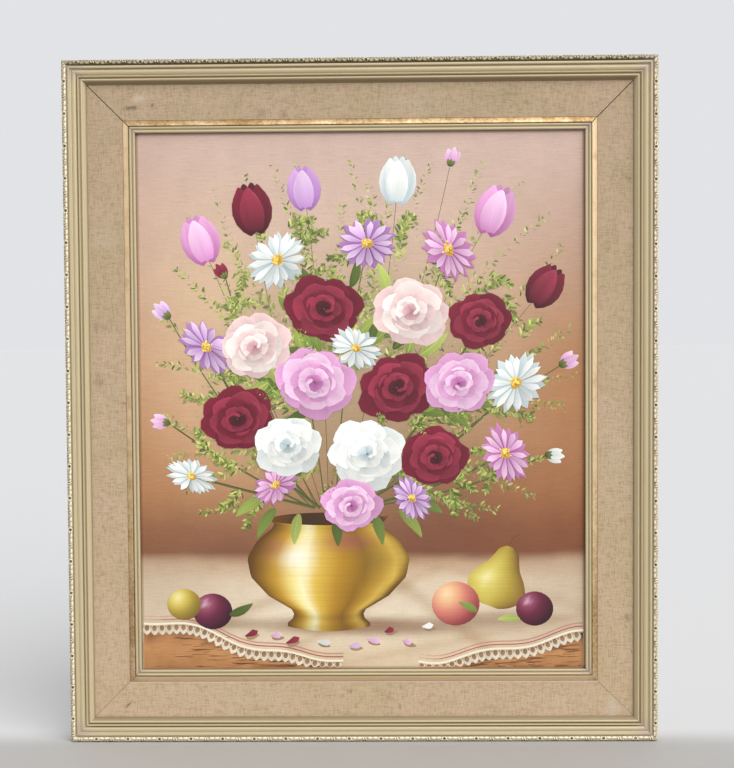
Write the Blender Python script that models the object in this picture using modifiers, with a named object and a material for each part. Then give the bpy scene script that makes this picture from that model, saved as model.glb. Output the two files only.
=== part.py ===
"""Framed oil painting: carved moulding, linen liner, gilt bevel, reeded slip and stretched canvas.

Metres, +Z up. The picture faces -Y and hangs on a wall at y = 0.
The origin is on the flat back of the top moulding, at the middle of its length.
"""
import math

import bmesh
import bpy
from mathutils import Matrix, Vector

# Canvas and stretcher
CANVAS_WIDTH = 0.508
CANVAS_HEIGHT = 0.610
CANVAS_DEPTH = 0.0196          # painted face to the cloth turned over behind
CANVAS_THICKNESS = 0.0008
TURNOVER_WIDTH = 0.022         # cloth folded onto the back of the bars
BAR_WIDTH = 0.036
BAR_RIM_WIDTH = 0.006          # only this rim of a bar touches the cloth
BAR_RELIEF = 0.002             # the rest of its front lies this much lower

# Clearances
JOINT_GAP = 0.0003             # between neighbouring pieces
WALL_CLEARANCE = 0.0005        # from the wall to the cloth turned over behind
OPEN_MITRE_GAP = 0.0014        # top mitres of the liner and the bevel have opened

# Reeded slip round the picture
SLIP_COVER = 0.0060            # how far the slip laps over the canvas
SLIP_LIP_THICKNESS = 0.0050
SLIP_INNER_REED = 0.0026
SLIP_GROOVE = 0.0017
SLIP_OUTER_REED = 0.0020
SLIP_SHOULDER = 0.0009
SLIP_REED_RISE = 0.0008
SLIP_GROOVE_DEPTH = 0.0009
SLIP_SIGHT_DROP = 0.0006       # the sight edge lies this much under the reeds
SLIP_TONGUE = 0.0040           # the part of the slip under the bevel

# Gilt bevel
BEVEL_WIDTH = 0.0060
BEVEL_RISE = 0.0030            # from the linen up to its inner edge
BEVEL_LAND = 0.0008            # flat along its inner edge
BEVEL_TOE = 0.0003             # its outer edge stands this much over the linen
BEVEL_UNDER_SLIP = 0.0003      # its inner edge lies this much under the slip's reeds

# Linen liner
LINEN_WIDTH = 0.0395           # the width that shows
LINER_TUCK = 0.0060            # the width under the outer moulding
LINER_THICKNESS = 0.0130

# Outer moulding, members from the linen outwards
MOULDING_RISE = 0.0080         # crest over the linen
LIP_EDGE = 0.0006
SLOPE_WIDTH = 0.0039
SLOPE_TOP_DROP = 0.0032        # members' drops are all measured from the crest
REED_WIDTH = 0.0025
REED_DROP = 0.0023
DEEP_GROOVE_WIDTH = 0.0019
DEEP_GROOVE_DROP = 0.0042
FINE_REED_WIDTH = 0.0016
FINE_REED_DROP = 0.0021
FINE_GROOVE_WIDTH = 0.0010
FINE_GROOVE_DROP = 0.0031
OVOLO_WIDTH = 0.0049
OVOLO_DROP = 0.0012
OVOLO_RISE = 0.0009
STEP_WIDTH = 0.0012
FILLET_WIDTH = 0.0029
QUIRK_WIDTH = 0.0016
QUIRK_DROP = 0.0034
BEAD_WIDTH = 0.0055

# Carved bead on the outer edge: rosette, leaf, crossed tie, leaf
BEAD_RADIUS = 0.0023
BEAD_TOP_DROP = 0.0004
SIDE_INSET = 0.0016            # the plain side stands in from the carving
SIDE_TOP_DROP = 0.0061
CARVING_PITCH = 0.0354         # rosette to rosette
ROSETTE_RISE = 0.0008
ROSETTE_REACH = 0.0036
LEAF_RISE = 0.0004
LEAF_CENTRE = 0.0098           # from a rosette to the fullest part of its leaf
TIE_RISE = 0.0003
TIE_REACH = 0.0028
BEAD_ANGLES = (-45.0, 0.0, 45.0, 100.0)
REED_STEPS = 4
CARVING_SHIFT = {"top": 0.0077, "right": 0.0050, "bottom": 0.0160, "left": 0.0013}

# Sizes and levels worked out from the values above; a level is a height above the wall
SIGHT_WIDTH = CANVAS_WIDTH - 2 * SLIP_COVER
SIGHT_HEIGHT = CANVAS_HEIGHT - 2 * SLIP_COVER
CANVAS_FACE = WALL_CLEARANCE + CANVAS_DEPTH
SLIP_UNDERSIDE = CANVAS_FACE + JOINT_GAP
SLIP_CREST = SLIP_UNDERSIDE + SLIP_LIP_THICKNESS
BEVEL_TOP = SLIP_CREST - BEVEL_UNDER_SLIP
LINEN_LEVEL = BEVEL_TOP - BEVEL_RISE
LINER_BACK = LINEN_LEVEL - LINER_THICKNESS
CREST = LINEN_LEVEL + MOULDING_RISE

# Places across a rail, measured outwards from the sight edge of the picture
SLIP_EDGE = SLIP_INNER_REED + SLIP_GROOVE + SLIP_OUTER_REED + SLIP_SHOULDER
BEVEL_INNER = SLIP_EDGE + JOINT_GAP
BEVEL_OUTER = BEVEL_INNER + BEVEL_WIDTH
LINEN_INNER = BEVEL_OUTER + JOINT_GAP
MOULDING_INNER = LINEN_INNER + LINEN_WIDTH
LINER_OUTER = MOULDING_INNER + LINER_TUCK
REBATE_WALL = LINER_OUTER + JOINT_GAP
BEAD_INNER = (MOULDING_INNER + SLOPE_WIDTH + REED_WIDTH + DEEP_GROOVE_WIDTH + FINE_REED_WIDTH
              + FINE_GROOVE_WIDTH + OVOLO_WIDTH + STEP_WIDTH + FILLET_WIDTH + QUIRK_WIDTH)
FRAME_EDGE = BEAD_INNER + BEAD_WIDTH
SIDE_WALL = FRAME_EDGE - SIDE_INSET
MOUNT_PLACE = (REBATE_WALL + SIDE_WALL) / 2

# Each side: the turn about Y from the top rail, then the sight length along it and across it
SIDES = {
    "top": (0.0, SIGHT_WIDTH, SIGHT_HEIGHT),
    "right": (math.pi / 2, SIGHT_HEIGHT, SIGHT_WIDTH),
    "bottom": (math.pi, SIGHT_WIDTH, SIGHT_HEIGHT),
    "left": (-math.pi / 2, SIGHT_HEIGHT, SIGHT_WIDTH),
}


def clear_scene():
    for thing in list(bpy.data.objects):
        bpy.data.objects.remove(thing, do_unlink=True)


def finish(name, colour, roughness, metallic):
    """A Principled material; the colour is linear RGB."""
    material = bpy.data.materials.new(name)
    material.use_nodes = True
    shader = material.node_tree.nodes["Principled BSDF"]
    shader.inputs["Base Color"].default_value = (*colour, 1.0)
    shader.inputs["Roughness"].default_value = roughness
    shader.inputs["Metallic"].default_value = metallic
    material.diffuse_color = (*colour, 1.0)
    return material


def add_piece(name, mesh, material, collection, parent, turn=0.0):
    piece = bpy.data.objects.new(name, mesh)
    piece.rotation_euler = (0.0, turn, 0.0)
    piece.parent = parent
    mesh.materials.append(material)
    collection.objects.link(piece)
    return piece


def arc(start, width, base, rise, steps=REED_STEPS):
    """Points of a low rounded reed: a half sine of the given rise over its width."""
    return [(start + width * i / steps, base + rise * math.sin(math.pi * i / steps))
            for i in range(steps + 1)]


def slip_profile():
    """Outline of the reeded slip as (place, level): lip over the canvas, leg beside it."""
    leg = SLIP_COVER + JOINT_GAP
    tongue = SLIP_EDGE + SLIP_TONGUE
    groove = SLIP_INNER_REED + SLIP_GROOVE / 2
    outer_reed = SLIP_INNER_REED + SLIP_GROOVE
    reed_base = SLIP_CREST - SLIP_REED_RISE
    shoulder = (SLIP_EDGE, reed_base - SLIP_GROOVE_DEPTH)
    points = [(0.0, SLIP_UNDERSIDE), (0.0, reed_base - SLIP_SIGHT_DROP)]
    points += arc(0.0, SLIP_INNER_REED, reed_base, SLIP_REED_RISE)[1:]
    points += [(groove, reed_base - SLIP_GROOVE_DEPTH)]
    points += arc(outer_reed, SLIP_OUTER_REED, reed_base, SLIP_REED_RISE)
    points += [shoulder, (SLIP_EDGE, SLIP_UNDERSIDE), (tongue, SLIP_UNDERSIDE), (tongue, LINER_BACK)]
    points += [(leg, LINER_BACK), (leg, SLIP_UNDERSIDE)]
    return points


def bevel_profile():
    """Outline of the gilt bevel: it covers the joint of slip and liner and rises inwards."""
    seat = SLIP_UNDERSIDE + JOINT_GAP
    return [(BEVEL_INNER, seat), (BEVEL_INNER, BEVEL_TOP), (BEVEL_INNER + BEVEL_LAND, BEVEL_TOP),
            (BEVEL_OUTER, LINEN_LEVEL + BEVEL_TOE), (BEVEL_OUTER, seat)]


def liner_profile():
    """Outline of the linen-covered liner, with a step for the bevel to sit on."""
    inner = SLIP_EDGE + SLIP_TONGUE + JOINT_GAP
    return [(inner, LINER_BACK), (inner, SLIP_UNDERSIDE), (LINEN_INNER, SLIP_UNDERSIDE),
            (LINEN_INNER, LINEN_LEVEL), (LINER_OUTER, LINEN_LEVEL), (LINER_OUTER, LINER_BACK)]


def bar_profile():
    """Outline of a stretcher bar: a raised outer rim and a front sloping back from the cloth."""
    outer = SLIP_COVER - CANVAS_THICKNESS - JOINT_GAP
    inner = outer - BAR_WIDTH
    back = WALL_CLEARANCE + CANVAS_THICKNESS + JOINT_GAP
    front = CANVAS_FACE - CANVAS_THICKNESS - JOINT_GAP
    return [(outer, back), (outer, front), (outer - BAR_RIM_WIDTH, front),
            (inner, front - BAR_RELIEF), (inner, back)]


def moulding_profile():
    """Outline of the outer moulding from the quirk beside the bead, inwards over its members,
    round the rebate and the back, and up the plain side to the carving."""
    place = MOULDING_INNER
    points = [(REBATE_WALL, LINEN_LEVEL + JOINT_GAP), (place, LINEN_LEVEL + JOINT_GAP),
              (place, LINEN_LEVEL + JOINT_GAP + LIP_EDGE)]
    place += SLOPE_WIDTH
    base = CREST - SLOPE_TOP_DROP
    points += arc(place, REED_WIDTH, base, SLOPE_TOP_DROP - REED_DROP)
    place += REED_WIDTH
    points.append((place + DEEP_GROOVE_WIDTH / 2, CREST - DEEP_GROOVE_DROP))
    place += DEEP_GROOVE_WIDTH
    points += arc(place, FINE_REED_WIDTH, base, SLOPE_TOP_DROP - FINE_REED_DROP)
    place += FINE_REED_WIDTH
    points.append((place + FINE_GROOVE_WIDTH / 2, CREST - FINE_GROOVE_DROP))
    place += FINE_GROOVE_WIDTH
    points += arc(place, OVOLO_WIDTH, CREST - OVOLO_DROP - OVOLO_RISE, OVOLO_RISE)
    place += OVOLO_WIDTH + STEP_WIDTH
    points += [(place, CREST), (place + FILLET_WIDTH, CREST)]
    bead_start = (BEAD_INNER, CREST - QUIRK_DROP)
    bead_end = (SIDE_WALL, CREST - SIDE_TOP_DROP)
    return [bead_start] + points[::-1] + [(REBATE_WALL, 0.0), (SIDE_WALL, 0.0), bead_end]


def plain_rail(profile, length, across, end_gaps):
    """A straight rail with mitred ends: the outline extruded, then cut by two mitre planes.

    It is made as the top rail, lying along X, with the picture's centre below at the origin.
    """
    outline = bpy.data.curves.new("outline", "CURVE")
    outline.dimensions = "2D"
    outline.fill_mode = "BOTH"
    outline.extrude = length / 2 + max(place for place, level in profile) + BAR_WIDTH
    spline = outline.splines.new("POLY")
    spline.points.add(len(profile) - 1)
    for point, (place, level) in zip(spline.points, profile):
        point.co = (place + across / 2, level, 0.0, 1.0)
    spline.use_cyclic_u = True
    guide = bpy.data.objects.new("outline", outline)
    bpy.context.scene.collection.objects.link(guide)
    evaluated = guide.evaluated_get(bpy.context.evaluated_depsgraph_get())
    mesh = bpy.data.meshes.new_from_object(evaluated)
    bpy.data.objects.remove(guide)

    work = bmesh.new()
    work.from_mesh(mesh)
    bmesh.ops.remove_doubles(work, verts=work.verts, dist=0.000001)
    # outline's x becomes Z, its y becomes -Y and its extrusion becomes X
    bmesh.ops.transform(work, verts=work.verts, matrix=Matrix(((0, 0, 1, 0), (0, -1, 0, 0),
                                                               (1, 0, 0, 0), (0, 0, 0, 1))))
    for end, gap in zip((-1, 1), end_gaps):
        outwards = Vector((end, 0, -1)).normalized()
        corner = Vector((end * length / 2, 0, across / 2)) - outwards * gap / 2
        cut = bmesh.ops.bisect_plane(work, geom=work.verts[:] + work.edges[:] + work.faces[:],
                                     plane_co=corner, plane_no=outwards, clear_outer=True)
        rim = [item for item in cut["geom_cut"] if isinstance(item, bmesh.types.BMEdge)]
        bmesh.ops.contextual_create(work, geom=rim)
    bmesh.ops.recalc_face_normals(work, faces=work.faces)
    work.to_mesh(mesh)
    work.free()
    return mesh


def carving_rise(distance):
    """Rise of the carving at a distance from the nearest rosette, straight between its stops."""
    tie = CARVING_PITCH / 2
    stops = ((0.0, ROSETTE_RISE), (ROSETTE_REACH, 0.0), (LEAF_CENTRE, LEAF_RISE),
             (tie - TIE_REACH, 0.0), (tie, TIE_RISE))
    for (near, low), (far, high) in zip(stops, stops[1:]):
        if distance <= far:
            return low + (high - low) * (distance - near) / (far - near)
    return TIE_RISE


def rise_at(along, shift):
    offset = (along - shift) % CARVING_PITCH
    return carving_rise(min(offset, CARVING_PITCH - offset))


def bead_places(limit, shift):
    """Places along a rail, inside the limit, where the carving has a peak or a hollow."""
    repeats = math.ceil(limit / CARVING_PITCH) + 1
    side_steps = (ROSETTE_REACH, LEAF_CENTRE, CARVING_PITCH / 2 - TIE_REACH)
    steps = [-step for step in side_steps] + [0.0] + list(side_steps) + [CARVING_PITCH / 2]
    places = [shift + i * CARVING_PITCH + step for i in range(-repeats, repeats + 1) for step in steps]
    return sorted(place for place in places if abs(place) < limit)


def bead_section(rise):
    """The carving across the bead as (place, level), from the quirk over to the plain side."""
    centre_place = FRAME_EDGE - BEAD_RADIUS - ROSETTE_RISE
    centre_level = CREST - BEAD_TOP_DROP - BEAD_RADIUS - ROSETTE_RISE
    radius = BEAD_RADIUS + rise
    swelling = [(centre_place + radius * math.cos(math.radians(angle)),
                 centre_level + radius * math.sin(math.radians(angle)))
                for angle in reversed(BEAD_ANGLES)]
    return [(BEAD_INNER, CREST - QUIRK_DROP)] + swelling + [(SIDE_WALL, CREST - SIDE_TOP_DROP)]


def carved_rail(profile, length, across, shift):
    """An outer rail: a loft of unlike bead sections, closed by plain strips between the mitres."""
    work = bmesh.new()

    def mitred(section, end):
        """A section's vertices on the mitre plane of one end, or square across when end is 0."""
        clear = JOINT_GAP / math.sqrt(2)
        return [work.verts.new((end * (length / 2 + place - clear), -level, place + across / 2))
                for place, level in section]

    half = length / 2 + BEAD_INNER
    rows = [mitred(bead_section(rise_at(-half, shift)), -1)]
    for along in bead_places(half - ROSETTE_REACH / 2, shift):
        rows.append([work.verts.new((along, -level, place + across / 2))
                     for place, level in bead_section(rise_at(along, shift))])
    rows.append(mitred(bead_section(rise_at(half, shift)), 1))
    for row, following in zip(rows, rows[1:]):
        for i in range(len(row) - 1):
            work.faces.new((row[i], row[i + 1], following[i + 1], following[i]))

    # plain lines: one vertex at each mitre; the first and last line are the bead's own edges
    first, last = rows[0], rows[-1]
    starts = [first[0]] + mitred(profile[1:-1], -1) + [first[-1]]
    ends = [last[0]] + mitred(profile[1:-1], 1) + [last[-1]]
    for i in range(1, len(starts) - 2):
        work.faces.new((starts[i], starts[i + 1], ends[i + 1], ends[i]))
    for edge, corners in ((0, (starts[1], ends[1])), (-1, (starts[-2], ends[-2]))):
        line = [row[edge] for row in rows]
        middle = len(line) // 2
        for i in range(len(line) - 1):
            work.faces.new((corners[0] if i < middle else corners[1], line[i], line[i + 1]))
        work.faces.new((corners[0], line[middle], corners[1]))
    work.faces.new(starts + first[-2:0:-1])
    work.faces.new(ends + last[-2:0:-1])
    bmesh.ops.recalc_face_normals(work, faces=work.faces)
    mesh = bpy.data.meshes.new("carved_rail")
    work.to_mesh(mesh)
    work.free()
    return mesh


def canvas_mesh():
    """The cloth as an open tray: face, four sides and a border folded onto the back."""
    work = bmesh.new()
    bmesh.ops.create_cube(work, size=1.0)
    bmesh.ops.scale(work, verts=work.verts, vec=(CANVAS_WIDTH, CANVAS_DEPTH, CANVAS_HEIGHT))
    bmesh.ops.translate(work, verts=work.verts, vec=(0, CANVAS_DEPTH / 2 - CANVAS_FACE, 0))
    back = [face for face in work.faces if face.normal.y > 0.5]
    bmesh.ops.inset_region(work, faces=back, thickness=TURNOVER_WIDTH, use_even_offset=True)
    bmesh.ops.delete(work, geom=back, context="FACES")
    mesh = bpy.data.meshes.new("canvas")
    work.to_mesh(mesh)
    work.free()
    return mesh


def build():
    clear_scene()
    collection = bpy.data.collections.new("framed_oil_painting")
    bpy.context.scene.collection.children.link(collection)
    centre = bpy.data.objects.new("picture_centre", None)
    centre.location = (0.0, 0.0, -(SIGHT_HEIGHT / 2 + MOUNT_PLACE))
    collection.objects.link(centre)

    champagne = finish("champagne_lacquered_wood", (0.610, 0.515, 0.305), 0.42, 0.25)
    linen = finish("woven_linen", (0.533, 0.397, 0.246), 0.90, 0.0)
    gilt = finish("worn_gilt", (0.694, 0.468, 0.191), 0.36, 0.75)
    painted = finish("oil_painted_canvas", (0.584, 0.371, 0.275), 0.50, 0.0)
    pine = finish("bare_pine", (0.540, 0.380, 0.200), 0.65, 0.0)

    tight = (JOINT_GAP, JOINT_GAP)
    top_open = {"top": (OPEN_MITRE_GAP, OPEN_MITRE_GAP), "left": (JOINT_GAP, OPEN_MITRE_GAP),
                "right": (OPEN_MITRE_GAP, JOINT_GAP), "bottom": tight}
    families = (("inner_slip", slip_profile(), champagne, False),
                ("gilt_bevel", bevel_profile(), gilt, True),
                ("linen_liner", liner_profile(), linen, True),
                ("stretcher_bar", bar_profile(), pine, False))
    for side, (turn, length, across) in SIDES.items():
        rail = carved_rail(moulding_profile(), length, across, CARVING_SHIFT[side])
        add_piece("outer_moulding_" + side, rail, champagne, collection, centre, turn)
        for family, profile, material, opened in families:
            gaps = top_open[side] if opened else tight
            rail = plain_rail(profile, length, across, gaps)
            add_piece(family + "_" + side, rail, material, collection, centre, turn)

    canvas = add_piece("painted_canvas", canvas_mesh(), painted, collection, centre)
    wall = canvas.modifiers.new("cloth", "SOLIDIFY")
    wall.thickness = CANVAS_THICKNESS
    wall.offset = -1.0
    wall.use_even_offset = True


build()
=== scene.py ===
# Framed oil painting: carved champagne moulding, linen liner, gilt bevel, reeded slip, stretched canvas
import math

import bpy
import numpy as np
from mathutils import Matrix, Vector


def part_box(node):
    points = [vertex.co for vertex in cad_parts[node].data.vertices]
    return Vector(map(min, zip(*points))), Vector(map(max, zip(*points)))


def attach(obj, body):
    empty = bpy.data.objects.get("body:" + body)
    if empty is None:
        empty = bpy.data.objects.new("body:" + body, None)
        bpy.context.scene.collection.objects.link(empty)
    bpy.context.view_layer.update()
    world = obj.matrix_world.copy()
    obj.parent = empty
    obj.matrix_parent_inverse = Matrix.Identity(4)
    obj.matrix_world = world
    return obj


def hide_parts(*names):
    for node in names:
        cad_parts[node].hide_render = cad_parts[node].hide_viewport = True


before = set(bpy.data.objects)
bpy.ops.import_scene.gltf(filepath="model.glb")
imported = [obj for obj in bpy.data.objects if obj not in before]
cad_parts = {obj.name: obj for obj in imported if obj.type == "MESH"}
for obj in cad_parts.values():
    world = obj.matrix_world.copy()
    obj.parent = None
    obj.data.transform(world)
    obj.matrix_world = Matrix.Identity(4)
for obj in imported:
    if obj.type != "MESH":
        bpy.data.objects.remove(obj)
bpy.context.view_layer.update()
print("frame loaded:", len(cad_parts), "solids")


# Where things are, in mm, read from the solids. A place is measured outwards from the sight edge of the
# picture, a level is a height above the wall.
def corner(node, which, axis):
    return 1000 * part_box(node)[which][axis]


sightHalfWidth = -corner("inner_slip_left", 1, 0)
sightTop = corner("inner_slip_top", 0, 2)
sightBottom = corner("inner_slip_bottom", 1, 2)
sightHalfHeight = (sightTop - sightBottom) / 2
centreZ = (sightTop + sightBottom) / 2
frameEdge = -corner("outer_moulding_left", 0, 0) - sightHalfWidth
crest = -corner("outer_moulding_top", 0, 1)
linenLevel = -corner("linen_liner_top", 0, 1)
linerBack = -corner("linen_liner_top", 1, 1)
linerOuter = corner("linen_liner_top", 1, 2) - sightTop
linerInner = corner("linen_liner_top", 0, 2) - sightTop
slipCrest = -corner("inner_slip_top", 0, 1)
slipBack = -corner("inner_slip_top", 1, 1)
slipOuter = corner("inner_slip_top", 1, 2) - sightTop
bevelInner = corner("gilt_bevel_top", 0, 2) - sightTop
bevelOuter = corner("gilt_bevel_top", 1, 2) - sightTop
bevelTop = -corner("gilt_bevel_top", 0, 1)
bevelSeat = -corner("gilt_bevel_top", 1, 1)
canvasFace = -corner("painted_canvas", 0, 1)
canvasHalfWidth = corner("painted_canvas", 1, 0)
canvasHalfHeight = (corner("painted_canvas", 1, 2) - corner("painted_canvas", 0, 2)) / 2
barOuter = corner("stretcher_bar_top", 1, 2) - sightTop
barInner = corner("stretcher_bar_top", 0, 2) - sightTop
barFront = -corner("stretcher_bar_top", 0, 1)
barBack = -corner("stretcher_bar_top", 1, 1)
jointGap = 0.3

# each side: where its length and its outward direction point in x and z, half the length of its sight edge,
# and half the sight opening across it
sides = {
    "top": dict(along=(1, 0), out=(0, 1), half=sightHalfWidth, across=sightHalfHeight),
    "right": dict(along=(0, -1), out=(1, 0), half=sightHalfHeight, across=sightHalfWidth),
    "bottom": dict(along=(-1, 0), out=(0, -1), half=sightHalfWidth, across=sightHalfHeight),
    "left": dict(along=(0, 1), out=(-1, 0), half=sightHalfHeight, across=sightHalfWidth),
}


# Colours and shapes
def hexColour(text):
    # sRGB hex to linear: the toe of the curve is a straight line, the rest a power of 2.4
    parts = np.array([int(text[i:i + 2], 16) for i in (1, 3, 5)]) / 255
    return np.where(parts <= 0.04045, parts / 12.92, ((parts + 0.055) / 1.055) ** 2.4)


def rgba(text):
    return (*hexColour(text), 1.0)


def smooth(value, low, high):
    # 0 below low, 1 above high, and between them the S-shaped 3t^2 - 2t^3
    t = np.clip((value - low) / (high - low), 0, 1)
    return t * t * (3 - 2 * t)


def dome(distance):
    # a round-topped swelling with a steep foot: (1 - d^2)^0.7 inside a distance of 1
    return np.clip(1 - distance ** 2, 0, None) ** 0.7


def wavy(value, seed, waves=5, longest=200.0):
    # a sum of sine waves of falling length and height, each with its own start: about -1 to 1
    starts = np.random.default_rng(seed).uniform(0, 2 * np.pi, waves)
    total = sum(np.sin(2 * np.pi * value * 1.9 ** k / longest + starts[k]) / 1.5 ** k for k in range(waves))
    return total / 2.2


def gridFaces(rows, columns, closed=False):
    # quads of a grid of points numbered row by row; closed joins the last column to the first
    wrap = columns if closed else columns - 1
    row, column = np.meshgrid(np.arange(rows - 1), np.arange(wrap), indexing="ij")
    after = (column + 1) % columns
    corners = [row * columns + column, row * columns + after, (row + 1) * columns + after,
               (row + 1) * columns + column]
    return np.stack(corners, -1).reshape(-1, 4)


def cornerValues(values):
    # values on a grid's points, one column more than the faces have, spread to the corners of its quads
    return np.stack([values[:-1, :-1], values[:-1, 1:], values[1:, 1:], values[1:, :-1]],
                    2).reshape(-1, values.shape[-1])


def buildPiece(name, node, points, faces, grain, values, materials, faceMaterials, sharp=35):
    # One closed mesh from points in mm, faces as lists of point numbers, grain coordinates in mm for each
    # face corner, and named values on the points. Faces are turned round if the enclosed volume is negative.
    mesh = bpy.data.meshes.new(name)
    faces = [list(map(int, face)) for face in faces]
    mesh.from_pydata((points * 0.001).tolist(), [], faces)
    layer = mesh.uv_layers.new(name="grain")
    layer.data.foreach_set("uv", (grain * 0.001).astype(np.float32).ravel())
    for key, data in values.items():
        if data.ndim == 2:
            tint = mesh.color_attributes.new(key, "FLOAT_COLOR", "POINT")
            tint.data.foreach_set("color", data.astype(np.float32).ravel())
        else:
            mesh.attributes.new(key, "FLOAT", "POINT").data.foreach_set("value", data.astype(np.float32))
    for material in materials:
        mesh.materials.append(material)
    mesh.polygons.foreach_set("material_index", np.asarray(faceMaterials, np.int32))
    mesh.shade_smooth()
    mesh.set_sharp_from_angle(angle=math.radians(sharp))
    mesh.update()
    mesh.calc_loop_triangles()
    triangles = np.zeros(len(mesh.loop_triangles) * 3, np.int32)
    mesh.loop_triangles.foreach_get("vertices", triangles)
    a, b, c = (points[triangles.reshape(-1, 3)[:, k]] for k in range(3))
    if np.einsum("ij,ij->i", a, np.cross(b, c)).sum() < 0:
        mesh.flip_normals()
    piece = bpy.data.objects.new(name, mesh)
    bpy.context.scene.collection.objects.link(piece)
    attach(piece, "root")
    if node:
        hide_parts(node)
    return piece


def toWorld(side, along, place, level):
    # a point of a rail: so far along it, so far outwards from the sight edge, so far above the wall
    s = sides[side]
    x = along * s["along"][0] + (s["across"] + place) * s["out"][0]
    z = centreZ + along * s["along"][1] + (s["across"] + place) * s["out"][1]
    return np.stack([x, -level, z], -1)


def softened(points, radius, sharpest=25):
    # a profile whose corners, where it turns more than so many degrees, are cut to arcs of three points
    points = np.asarray(points, float)
    before, after = np.roll(points, 1, 0) - points, np.roll(points, -1, 0) - points
    lengthBefore, lengthAfter = np.linalg.norm(before, axis=1), np.linalg.norm(after, axis=1)
    turn = 180 - np.degrees(np.arccos(np.clip((before * after).sum(1) / lengthBefore / lengthAfter, -1, 1)))
    start = points + before * (np.minimum(radius, 0.4 * lengthBefore) / lengthBefore)[:, None]
    end = points + after * (np.minimum(radius, 0.4 * lengthAfter) / lengthAfter)[:, None]
    middle = (start + 2 * points + end) / 4
    trio = np.stack([start, middle, end], 1)
    keep = turn < sharpest
    trio[keep] = points[keep][:, None]
    once = np.stack([~keep, np.ones(len(points), bool), ~keep], 1)
    return trio[once]


def developed(profile):
    # distance run along a profile, closing on itself at the end
    steps = np.linalg.norm(np.roll(profile, -1, 0) - profile, axis=1)
    return np.concatenate([[0], np.cumsum(steps)])


def arcReed(start, width, base, rise, steps=8):
    # a half round reed: half a sine wave of that rise over its width
    t = np.arange(steps + 1) / steps
    return np.stack([start + width * t, base + rise * np.sin(np.pi * t)], 1)


def plainRail(name, node, side, profile, gaps, stations, materials, columnMaterials, shape=None,
              values=None, closed=0.04):
    # A profile carried along a rail. Station s runs from -1 to 1, and the distance along is s times half the
    # sight length plus the place, so that both ends lie on their mitres. A mitre gapes at the face and closes
    # a few mm below it. shape moves places and levels.
    s = np.linspace(-1, 1, stations)[:, None]
    place, level = np.broadcast_arrays(profile[None, :, 0],
                                       s)[0], np.broadcast_arrays(profile[None, :, 1], s)[0]
    opening = closed + (np.where(s < 0, gaps[0], gaps[1]) - closed) * smooth(level, level.max() - 4.5,
                                                                             level.max() - 0.3)
    along = s * (sides[side]["half"] + place - opening / math.sqrt(2))
    if shape:
        place, level = shape(along, place, level)
    points = toWorld(side, along, place, level).reshape(-1, 3)
    columns = len(profile)
    faces = gridFaces(stations, columns, closed=True)
    run = developed(profile)
    grain = np.stack(np.broadcast_arrays(np.concatenate([along, along[:, :1]], 1), run[None]), -1)
    ends = [np.arange(columns)[::-1], (stations - 1) * columns + np.arange(columns)]
    capGrain = np.concatenate([profile[::-1], profile])
    faceMaterials = np.concatenate([np.tile(columnMaterials, stations - 1), [columnMaterials[0]] * 2])
    made = {key: rule(along, place, level).ravel() for key, rule in (values or {}).items()}
    return buildPiece(name + "_" + side, node + "_" + side, points, [*faces, *ends],
                      np.concatenate([cornerValues(grain), capGrain]), made, materials, faceMaterials)


# Materials
def add(tree, kind, inputs=None, **settings):
    # one node with its settings; an input takes a value or the socket that feeds it
    made = tree.nodes.new("ShaderNode" + kind)
    for key, value in settings.items():
        setattr(made, key, value)
    for key, value in (inputs or {}).items():
        if isinstance(value, bpy.types.NodeSocket):
            tree.links.new(value, made.inputs[key])
        else:
            made.inputs[key].default_value = value
    return made


def newMaterial(name, **plain):
    material = bpy.data.materials.new(name)
    material.use_nodes = True
    tree = material.node_tree
    shader = tree.nodes["Principled BSDF"]
    for key, value in plain.items():
        shader.inputs[key.replace("_", " ")].default_value = value
    return material, tree, shader


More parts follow.
